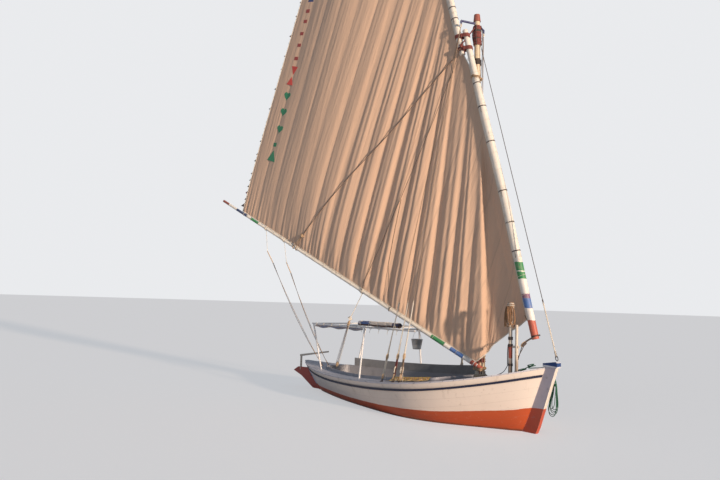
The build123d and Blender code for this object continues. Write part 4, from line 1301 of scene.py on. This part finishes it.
def slack_sheets():
    """Two slack lines from the boom's outer half, spliced, and led down to the stern."""
    form = Form()
    for distance, splice, foot in ((7.96, (6.75, 4.248), (-3.20, -0.42, 0.80)),
                                   (7.13, (5.985, 3.90), (-3.05, -0.28, 0.78))):
        start = boom_point(distance)
        joint = rig_point(*splice, 0.33)
        end = Vector(foot)
        lower = joint.lerp(end, 0.10)
        form.tube(straight(start - 0.05 * UP, joint, 10), 0.007)
        form.tube(straight(joint, lower, 6), 0.013, finish=2)
        for aside, finish in ((-0.02, 1), (0.02, 3)):
            line = hanging(lower + Vector((aside, 0, 0)), end + Vector((0, aside, 0)), 0.16 + 3 * aside, 20)
            form.tube(line, 0.0065, finish=finish)
        for turn in (0, 1):
            form.ring(start + BOOM_RUN * turn * 0.02, BOOM_RUN, 0.055, 0.008)
    crossing("slack_sheets", form)


def heel_tackle():
    """The tackle that hauls the yard's heel down to the foredeck posts, and the line to the sail's throat."""
    form = Form()
    heel = yard_point(LOWER_YARD, LOWER_YARD[0][1]) + 0.10 * UP
    post = Vector((3.88, -0.30, 1.64))
    block = Vector((4.02, -0.20, 1.97))
    step = yard_step(LOWER_YARD, 2.3)
    for turn in range(2):
        form.ring(heel + step * (-0.035 + 0.018 * turn), step, 0.099, 0.008, 26, finish=3)
    for aside in (-0.02, 0.02):
        form.tube(straight(heel + Vector((aside, 0, -0.02)), block + Vector((aside, 0, 0.03)), 8), 0.010,
                  finish=3)
    pulley(form, block, block - heel, 3, 0.17, 0.10, 0.07)
    for aside in (-0.03, 0.03):
        form.tube(straight(block + Vector((aside, 0, 0)), post + Vector((0.06, 0, aside)), 8), 0.008,
                  finish=3)
    crossing("heel_tackle", form)
    form = Form()
    throat = on_sail(SAIL_THROAT[0] + 0.05, SAIL_THROAT[1] + 0.10, 0.02)
    form.tube(straight(heel + Vector((-0.03, 0, 0.02)), throat, 10), 0.008)
    form.piece("throat_line", [ROPE_DARK], "rig", "lashing_rope")


# Loose ropes, as cords

POST_X, POST_Y = 3.73, -0.30


def cord_line(points):
    """A smooth line led by route points, as a curve whose own points can be read."""
    curve = bpy.data.curves.new("route", "CURVE")
    curve.dimensions = "3D"
    spline = curve.splines.new("NURBS")
    spline.points.add(len(points) - 1)
    for point, place in zip(spline.points, points):
        point.co = (*place, 1)
    spline.order_u = 3
    spline.use_endpoint_u = True
    spline.resolution_u = 8
    carrier = bpy.data.objects.new("route", curve)
    mesh = bpy.data.meshes.new_from_object(carrier)
    line = [vertex.co.copy() for vertex in mesh.vertices]
    bpy.data.objects.remove(carrier)
    bpy.data.meshes.remove(mesh)
    return line[:1] + [after for before, after in zip(line, line[1:]) if (after - before).length > 1e-4]


def loose_rope(name, route, diameter, material, **facts):
    """A free rope that follows a route."""
    line = cord_line(route)
    form = Form()
    form.tube(line, diameter / 2)
    piece = form.piece(name, [material], "boat", "lashing_rope")


# Awning

def awning_rolled():
    """The awning's rolled half: a spiral of canvas with a crumpled skin, tied at intervals."""
    low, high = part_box("awning_roll")
    span = high[0] - low[0]
    centre_y, centre_z = (low[1] + high[1]) / 2, (low[2] + high[2]) / 2
    outer = (high[2] - low[2]) / 2
    turns, steps, rows = 3.6, 34, 90
    ties = np.linspace(low[0] + 0.10, high[0] - 0.10, 5)
    grid = []
    for i in range(rows + 1):
        x = low[0] + span * i / rows
        pinch = sum(exp(-((x - tie) / 0.035) ** 2) for tie in ties)
        row = []
        for k in range(int(turns * steps) + 1):
            angle = 2 * pi * k / steps
            growth = 0.24 + 0.72 * k / (turns * steps)
            ripple = 0.045 * sin(3 * angle + 9 * x) + 0.03 * sin(7 * angle - 23 * x + 1)
            radius = outer * growth * (1 + ripple * growth - 0.16 * pinch)
            row.append(Vector((x, centre_y + radius * cos(angle),
                               centre_z + 0.94 * radius * sin(angle) - outer * 0.03)))
        grid.append(row)
    runs = [lengths_along(row) for row in grid]
    form = Form()
    form.grid(grid, lambda a, b: (runs[a][b], span * a / rows))
    canvas = rolled_canvas(centre_z, low[0], high[0])
    roll = form.piece("awning_rolled_canvas", [canvas], "boat", "awning_canvas", "awning_roll", uv="cloth")
    ropes = Form()
    for tie in ties:
        ring = loop_round((tie, centre_y, centre_z - 0.035), (1, 0, 0), (outer * 0.86, outer * 1.26), 26,
                          (0, 1, 0))
        ropes.tube(ring, 0.006, 6, closed=True)
        knot = ring[19]
        ropes.tube(curve_through([knot, knot + Vector((0.01, -0.03, -0.08)),
                                  knot + Vector((0.0, -0.02, -0.10))], 6), 0.005, 6)
    ropes.piece("awning_ties", [ROPE_WHITE], "boat", "lashing_rope")


def awning_gathered():
    """The awning's other half, gathered in pleats under its bar."""
    low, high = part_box("awning_cloth")
    middle, thick = (low[1] + high[1]) / 2, (high[1] - low[1]) / 2
    depth = high[2] - low[2]
    rows, columns = 26, 420
    grid = []
    for i in range(rows + 1):
        drop = i / rows
        row = []
        for k in range(columns + 1):
            x = low[0] + (high[0] - low[0]) * k / columns
            hem = 0.45 + 0.11 * sin(2 * pi * (x - low[0]) / 0.74 - 0.5 * pi)
            pleat = sin(2 * pi * x / 0.062 + 1.5 * sin(5 * x)) * (0.35 + 0.65 * drop)
            y = middle + thick * 0.9 * pleat * (0.75 + 0.25 * sin(11 * x))
            row.append(Vector((x, y, high[2] - 0.004 - (depth - 0.006) * drop * hem)))
        grid.append(row)
    runs = [lengths_along(row) for row in grid]
    form = Form()
    form.grid(grid, lambda a, b: (depth * a / rows, runs[a][b]))
    cloth = form.piece("awning_gathered_canvas", [AWNING_FADED], "boat", "awning_lining", "awning_cloth",
                       uv="cloth")
    ropes = Form()
    for x in np.arange(low[0] + 0.06, high[0], 0.37):
        ropes.ring((x, middle, high[2] + 0.010), (1, 0, 0), (0.030, 0.036), 0.005, sides=6,
                   towards=(0, 1, 0))
    ropes.piece("awning_lacing", [ROPE_WHITE], "boat", "lashing_rope")


# Gear on deck

def bucket():
    """A galvanised bucket hung from the awning's front crossbar."""
    place = Vector((0.52, -0.10, 1.59))
    form = Form()
    form.turned([(0.0, 0.012), (0.095, 0.012), (0.104, 0.0), (0.110, 0.0), (0.111, 0.022), (0.128, 0.11),
                 (0.129, 0.118), (0.131, 0.122), (0.152, 0.250), (0.156, 0.256), (0.158, 0.264),
                 (0.153, 0.268), (0.149, 0.262), (0.126, 0.118), (0.106, 0.020), (0.0, 0.018)], place,
                sides=40)
    for side in (-1, 1):
        ear = place + Vector((0, side * 0.154, 0.235))
        form.turned([(0.018, -0.006), (0.018, 0.006), (0.010, 0.010)], ear, (0, side, 0), 14)
    bail = [place + Vector((0, 0.158 * cos(t), 0.235 + 0.245 * sin(t))) for t in np.linspace(0, pi, 25)]
    form.tube(bail, 0.0045)
    form.piece("bucket", [ZINC], "boat", "frame_steel")
    rope = Form()
    bar = Vector((place.x, place.y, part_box("awning_frame")[1][2] - 0.024))
    for turn in (-1, 0, 1):
        rope.ring(bar + Vector((0, 0.014 * turn, 0)), (0, 1, 0), 0.024, 0.006, sides=6)
    rope.ring(bar - 0.036 * UP, (1, 0, 0), (0.016, 0.020), 0.005, 16, 6, towards=UP)
    rope.piece("bucket_lanyard", [ROPE_BROWN], "boat", "lashing_rope")


def draped_mat():
    """A woven mat laid over the starboard coaming, down to the side deck."""
    coaming, deck = tree_of(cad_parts["coaming"]), tree_of(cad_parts["deck"])
    low_x, high_x, columns = 0.62, 1.80, 70
    span = high_x - low_x
    down = Vector((0, 0, -1))
    grid = []
    for k in range(columns + 1):
        x = low_x + span * k / columns
        level = sheer(x) + DECK_THICKNESS + 0.04
        outer = coaming.ray_cast(Vector((x, -2.5, level)), Vector((0, 1, 0)))[0].y
        inner = coaming.ray_cast(Vector((x, 0, level)), Vector((0, -1, 0)))[0].y
        top = coaming.ray_cast(Vector((x, (outer + inner) / 2, 3)), down)[0].z
        ground = deck.ray_cast(Vector((x, outer - 0.15, 3)), down)[0].z
        wave = 0.010 * sin(19 * x) + 0.006 * sin(43 * x + 1)
        path = [(inner + 0.022, top - 0.15 + 0.02 * sin(4 * x)), (inner + 0.016, top - 0.02),
                (inner - 0.002, top + 0.012), (outer + 0.002, top + 0.012), (outer - 0.020, top - 0.015),
                (outer - 0.055 + wave, ground + 0.030 + abs(wave)),
                (outer - 0.12 + wave, ground + 0.014 + abs(wave)),
                (outer - 0.22 + 2 * wave, ground + 0.012 + 0.5 * abs(wave)),
                (outer - 0.30 + 2 * wave, ground + 0.012 + abs(wave))]
        grid.append(curve_through([(x, y, z) for y, z in path], 5))
    lengths = lengths_along(grid[0])
    form = Form()
    form.grid(grid, lambda a, b: (lengths[b], span * a / columns))
    mat = form.piece("woven_mat", [MAT], "boat", "awning_canvas", uv="cloth")


def bow_hank():
    """A hank of green rope hung from the stem by its own turns."""
    route = []
    for turn in range(6):
        aside = 0.011 * (turn - 2.5)
        low = 0.60 - 0.035 * (turn * 5 % 6)
        wide = 0.012 * (turn * 7 % 5)
        route += [
            (4.652, 0.080 + aside * 0.4, 1.215), (4.674, 0.082 + aside * 0.4, 1.19),
            (4.682, 0.095 + aside, 1.02), (4.665 + wide, 0.105 + 1.6 * aside, low + 0.22),
            (4.655 + wide, 0.11 + 2 * aside, low + 0.06), (4.590, 0.115 + 2 * aside, low - 0.02),
            (4.515 - wide, 0.12 + 2 * aside, low + 0.04), (4.520 - wide, 0.12 + 1.6 * aside, low + 0.19),
            (4.600, 0.10 + aside, 0.98), (4.630, 0.080 + aside * 0.4, 1.19),
        ]
    loose_rope("bow_hank", route, 0.014, ROPE_GREEN, far_end="bare", lay="hanging")
    ties = Form()
    for drop in (0.0, 0.018, 0.036):
        ties.ring((4.655, 0.088, 1.13 - drop), (0.1, 0, 1), (0.030, 0.034), 0.007, 18, 6)
    ties.tube(curve_through([(4.655, 0.088, 1.16), (4.66, 0.075, 1.25), (4.665, 0.035, 1.31)], 6), 0.008)
    ties.piece("bow_hank_tie", [ROPE_GREEN], "boat", "lashing_rope")


def foredeck_line():
    """A loose green line from the stemhead, heaped on the foredeck and led aft to the mast."""
    route = [
        # x, y, lift off the lines below
        (4.43, 0.05, 0), (4.38, 0.00, 0.004), (4.31, -0.06, 0.010), (4.24, -0.08, 0.025),
        (4.16, -0.02, 0.035), (4.10, -0.10, 0.045), (4.14, -0.20, 0.055), (4.24, -0.16, 0.070),
        (4.25, -0.05, 0.080), (4.15, 0.00, 0.085), (4.07, -0.08, 0.095), (4.10, -0.18, 0.105),
        (4.20, -0.18, 0.115), (4.22, -0.07, 0.115), (4.13, -0.01, 0.105), (4.03, -0.05, 0.08),
        (3.97, -0.16, 0.03), (3.88, -0.20, 0.020), (3.76, -0.12, 0.022), (3.76, 0.00, 0.030),
        (3.88, 0.04, 0.040), (3.99, -0.03, 0.050), (3.98, -0.15, 0.056), (3.87, -0.16, 0.050),
        (3.72, -0.10, 0.03), (3.58, -0.02, 0), (3.45, 0.08, 0), (3.40, 0.20, 0), (3.46, 0.30, 0),
        (3.58, 0.29, 0), (3.62, 0.19, 0.004),
    ]
    route = [(x, y, sheer(x) + DECK_THICKNESS + 0.011 + lift) for x, y, lift in route]
    loose_rope("foredeck_line", route, 0.020, ROPE_GREEN, far_end="bare", lay="loose")


def post_hank():
    """A hank of old rope hung in long loops from the taller foredeck post, and the turns that hold it."""
    x, y, top = POST_X, POST_Y, 2.83
    route = []
    for turn in range(9):
        swing = 2 * pi * turn / 9 * 1.7
        out = Vector((cos(swing), -abs(sin(swing)) - 0.35, 0)).normalized()
        aside = Vector((-out.y, out.x, 0))
        low = 2.34 + 0.05 * (turn * 5 % 4)
        near = 0.058 + 0.004 * turn
        for reach, shift, height in ((0.0, 0.0, top), (0.030, 0.035, top - 0.08), (0.045, 0.055, low + 0.16),
                                     (0.040, 0.040, low + 0.03), (0.036, 0.0, low),
                                     (0.040, -0.040, low + 0.03), (0.045, -0.055, low + 0.16),
                                     (0.030, -0.035, top - 0.09)):
            place = out * (near + reach) + aside * shift
            route.append((x + place.x, y + place.y, height))
    loose_rope("post_hank", route, 0.020, ROPE_OCHRE, far_end="bare", lay="hanging")
    form = Form()
    for turn in range(7):
        form.ring((x, y, top - 0.05 + 0.02 * turn), (0.04 * sin(turn), 0.03, 1),
                  0.050 + 0.030 * sin(pi * (turn + 1) / 8), 0.009, 26, finish=turn % 2)
    form.piece("post_hank_turns", [ROPE_TAN, ROPE_WHITE], "boat", "lashing_rope")


def post_turns():
    """Dark turns round the taller post with the line between them, and the blue line that leads aft."""
    x, y = POST_X, POST_Y
    form = Form()
    for base in (1.90, 2.06):
        for turn in range(4):
            form.ring((x, y, base + 0.018 * turn), UP, 0.050, 0.008, 24)
    line = [(x - 0.052, y - 0.02, 1.93), (x - 0.060, y - 0.025, 1.75), (x - 0.055, y - 0.03, 1.48)]
    form.tube(curve_through(line, 8), 0.010)
    for turn in range(3):
        form.ring((x, y, 1.47 + 0.019 * turn), UP, 0.051, 0.009, 24)
    form.piece("post_turns", [ROPE_DARK], "boat", "lashing_rope")
    route = [(x - 0.055, y - 0.03, 1.47), (x - 0.10, y - 0.02, 1.40), (3.52, -0.27, 1.30),
             (3.36, -0.20, 1.235), (3.20, -0.12, 1.190), (3.05, -0.06, 1.160), (2.92, -0.12, 1.132),
             (2.83, -0.22, 1.113)]
    loose_rope("post_line", route, 0.016, ROPE_NAVY, far_end="object", lay="loose")


def mast_foot_ropes():
    """Halyards made fast round the mast's foot, in turns of several ropes."""
    form = Form()
    for low, count, rope, finish in ((1.13, 4, 0.012, 0), (1.44, 5, 0.011, 1), (1.56, 4, 0.012, 2),
                                     (1.66, 3, 0.010, 3)):
        for turn in range(count):
            height = low + 2 * rope * turn
            radius = mast_radius(height) + rope + (0.012 if turn % 2 else 0.0)
            form.ring(mast_point(height), (tan(MAST_RAKE), 0.05 * sin(turn), 1), radius, rope, 28,
                      finish=finish)
    low, high = mast_point(1.16), mast_point(1.72)
    for angle, finish in ((-0.6, 1), (0.1, 3), (0.9, 2)):
        out = Vector((cos(angle), sin(angle) - 0.9, 0)).normalized()
        form.tube(curve_through([high + out * 0.125, (high + low) / 2 + out * 0.165, low + out * 0.135], 8),
                  0.010, finish=finish)
    form.piece("mast_foot_ropes", [ROPE_WHITE, ROPE_DARK_RED, ROPE_BROWN, ROPE_DARK], "boat", "lashing_rope")


# The stage

def stage():
    """A pale floor at the water's level."""
    form = Form()
    form.grid([loop_round((0, 0, 0), UP, reach, 48, (1, 0, 0)) for reach in (400.0, 60.0, 15.0, 0.01)],
              around=True)
    form.piece("floor", [pale_floor()])


PALE = (0.82, 0.83, 0.85)
FLOOR_GLOW = 0.55


def pale_floor():
    """Matt and pale: its own colour straight to the camera far off, shaded near the boat."""
    finish = Finish("pale_floor", 0.7)
    tree = finish.tree
    finish.colour(PALE, (finish.patches(0.35, 0.5, 0.5), 0.25, darker(PALE, 0.96)))
    glow = put(tree, "ShaderNodeEmission", {"Color": PALE, "Strength": 1.0})
    seen = reckon(tree, "MULTIPLY", put(tree, "ShaderNodeLightPath").outputs["Is Camera Ray"], FLOOR_GLOW)
    mixed = put(tree, "ShaderNodeMixShader", {0: seen, 1: finish.shader.outputs[0], 2: glow.outputs[0]})
    tree.links.new(mixed.outputs[0], tree.nodes["Material Output"].inputs["Surface"])
    return finish.material


def light_and_sky():
    """A low warm key from ahead and a little to starboard, a cool fill and a plain even sky."""
    for name, azimuth, elevation, strength, colour, size in (
            ("key", -1, 10, 4.2, (1.0, 0.77, 0.58), 3),
            ("fill", -80, 35, 0.17, (0.78, 0.88, 1.0), 60)):
        lamp = bpy.data.lights.new(name, "SUN")
        lamp.energy = strength
        lamp.color = colour
        lamp.angle = radians(size)
        holder = bpy.data.objects.new(name, lamp)
        turn, rise = radians(azimuth), radians(elevation)
        away = Vector((cos(turn) * cos(rise), sin(turn) * cos(rise), sin(rise)))
        holder.rotation_euler = away.to_track_quat("Z", "Y").to_euler()
        bpy.context.scene.collection.objects.link(holder)
    world = bpy.data.worlds.new("sky")
    bpy.context.scene.world = world
    world.use_nodes = True
    tree = world.node_tree
    tree.nodes.clear()
    path = put(tree, "ShaderNodeLightPath").outputs
    seen = reckon(tree, "MAXIMUM", path["Is Camera Ray"], path["Is Transmission Ray"])
    lit = put(tree, "ShaderNodeBackground", {"Color": (0.74, 0.84, 1.0), "Strength": 0.28})
    shown = put(tree, "ShaderNodeBackground", {"Color": PALE, "Strength": 1.0})
    mixed = put(tree, "ShaderNodeMixShader", {0: seen, 1: lit.outputs[0], 2: shown.outputs[0]})
    put(tree, "ShaderNodeOutputWorld", {"Surface": mixed.outputs[0]})


def camera():
    """The photograph's own view: a level lens tilted a little up and rolled a little."""
    right = CAMERA_HEADING.cross(UP).normalized()
    ahead = CAMERA_HEADING * cos(CAMERA_PITCH) + UP * sin(CAMERA_PITCH)
    up = right.cross(ahead)
    side = right * cos(CAMERA_ROLL) + up * sin(CAMERA_ROLL)
    top = up * cos(CAMERA_ROLL) - right * sin(CAMERA_ROLL)
    data = bpy.data.cameras.new("camera")
    data.lens = FOCAL_PIXELS / FRAME_WIDTH * SENSOR
    data.sensor_width = SENSOR
    data.clip_end = 1000
    holder = bpy.data.objects.new("camera", data)
    holder.matrix_world = Matrix((side, top, -ahead)).transposed().to_4x4()
    holder.location = CAMERA_PLACE
    bpy.context.scene.collection.objects.link(holder)
    bpy.context.scene.camera = holder


# Finishes

HULL_PLANK = 0.19
SPAR_PALE = (0.80, 0.77, 0.70)

ROPE_WHITE = laid_rope("rope_white", (0.74, 0.69, 0.60))
ROPE_TAN = laid_rope("rope_tan", (0.42, 0.29, 0.20))
ROPE_NAVY = laid_rope("rope_navy", (0.022, 0.045, 0.090), dirt=0.2)
ROPE_OCHRE = laid_rope("rope_ochre", (0.34, 0.19, 0.10), dirt=0.7)
ROPE_BROWN = laid_rope("rope_brown", (0.46, 0.32, 0.20))
ROPE_DARK = laid_rope("rope_dark", (0.10, 0.08, 0.075))
ROPE_DARK_RED = laid_rope("rope_dark_red", (0.26, 0.08, 0.07))
ROPE_GREEN = laid_rope("rope_green", (0.018, 0.115, 0.060))
BLOCK_WOOD = painted_wood("block_wood", (0.52, 0.38, 0.24), worn=(0.62, 0.50, 0.36), roughness=0.6)
IRON = metal_skin("iron", (0.09, 0.08, 0.08), 0.55, 0.6)
ZINC = metal_skin("zinc", (0.62, 0.62, 0.60), 0.42, 0.85, rust=0.22, worn=(0.36, 0.30, 0.25))
CLOTH_DARK = woven_cloth("flag_dark", (0.05, 0.045, 0.06))
CLOTH_DARK_RED = woven_cloth("flag_dark_red", (0.22, 0.05, 0.05))
AWNING_FADED = woven_cloth("awning_faded", (0.52, 0.46, 0.44), (0.30, 0.32, 0.42))
MAT = mat_cloth()

camera()
light_and_sky()
stage()
bow_hank()
foredeck_line()
post_hank()
post_turns()
rope_edge()
appliques()
leech_flags()
spar_whippings()
robands()
spar_lashings()
ring_ropes()
shrouds(1, "shroud_ropes_port", "shrouds_port")
shrouds(-1, "shroud_ropes_starboard", "shrouds_starboard")
forestay()
masthead_rigging()
boom_lifts()
mainsheet()
slack_sheets()
heel_tackle()
awning_rolled()
awning_gathered()
bucket()
draped_mat()
mast_foot_ropes()

SPAR_RED = (0.52, 0.11, 0.07)
SPAR_WHITE = (0.84, 0.82, 0.78)
SPAR_BLUE = (0.06, 0.18, 0.50)
SPAR_PURPLE = (0.22, 0.10, 0.22)
SPAR_GREEN = (0.03, 0.26, 0.09)
YARD_RINGS = [
    # from height, to height, colour
    (0.0, 2.51, SPAR_RED), (2.51, 2.79, SPAR_WHITE), (2.79, 3.02, SPAR_BLUE), (3.02, 3.12, SPAR_PURPLE),
    (3.12, 3.47, SPAR_WHITE), (3.47, 3.87, SPAR_GREEN), (3.64, 3.66, SPAR_WHITE),
]
BOOM_RINGS = [
    # from distance, to distance, colour
    (-0.1, 0.32, SPAR_RED), (0.13, 0.15, SPAR_WHITE), (0.22, 0.24, SPAR_WHITE), (0.32, 0.55, SPAR_WHITE),
    (0.55, 0.94, SPAR_BLUE), (0.94, 1.14, SPAR_WHITE),
    (1.14, 1.55, SPAR_GREEN), (8.43, 8.78, SPAR_GREEN), (8.99, 9.50, (0.03, 0.06, 0.16)),
    (9.90, 10.3, (0.28, 0.07, 0.05)),
]
yard_paint = ringed_paint("yard_paint", (0, 0, 0), (0, 0, 1), YARD_RINGS)
seat_paint = deck_planks("seat_paint", (0.46, 0.45, 0.44), 0.14)
PAINTS = {
    "hull": hull_paint(),
    "keel_and_stem": stem_paint(),
    "rub_rails": painted_wood("rail_paint", (0.014, 0.020, 0.055), worn=(0.20, 0.17, 0.16), wear=0.4),
    "deck": deck_planks("deck_paint", (0.60, 0.61, 0.68)),
    "sole": deck_planks("sole_paint", (0.50, 0.46, 0.40)),
    "stern_platform": deck_planks("platform_paint", (0.40, 0.36, 0.31), 0.14),
    "bench_port": seat_paint,
    "bench_starboard": seat_paint,
    "coaming": painted_wood("coaming_paint", (0.33, 0.34, 0.38), dirt=0.5),
    # The seat back's grey is darker than the coaming's: painted shade, and more weathering.
    "seat_back": painted_wood("seat_back_paint", (0.26, 0.27, 0.29), dirt=0.6),
    "stemhead_cap": cap_paint(),
    "foredeck_posts": post_paint(),
    "mast": painted_wood("mast_paint", (0.68, 0.56, 0.40), stretch=(1.0, 1.0, 0.06), roughness=0.45),
    "mast_truck": painted_wood("truck_paint", (0.34, 0.11, 0.08), stretch=(1.0, 1.0, 0.1)),
    "mast_collar": painted_wood("collar_wood", (0.42, 0.31, 0.21)),
    "masthead_arm": metal_skin("arm_paint", (0.05, 0.06, 0.17), 0.4),
    "yard_lower": yard_paint,
    "yard_upper": yard_paint,
    "boom": ringed_paint("boom_paint", boom_point(0), BOOM_RUN, BOOM_RINGS),
    "awning_frame": metal_skin("frame_paint", (0.76, 0.77, 0.78), 0.35, rust=0.32),
    "gudgeons": metal_skin("gudgeon_iron", (0.10, 0.09, 0.09), 0.6, 0.5),
    "rudder": painted_wood("rudder_paint", (0.42, 0.07, 0.05), stretch=(1.0, 1.0, 0.1), dirt=0.5),
    "tiller": painted_wood("tiller_paint", (0.62, 0.55, 0.46)),
}
for node, paint in PAINTS.items():
    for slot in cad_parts[node].material_slots:
        slot.material = paint

bpy.context.scene.view_settings.view_transform = "Standard"
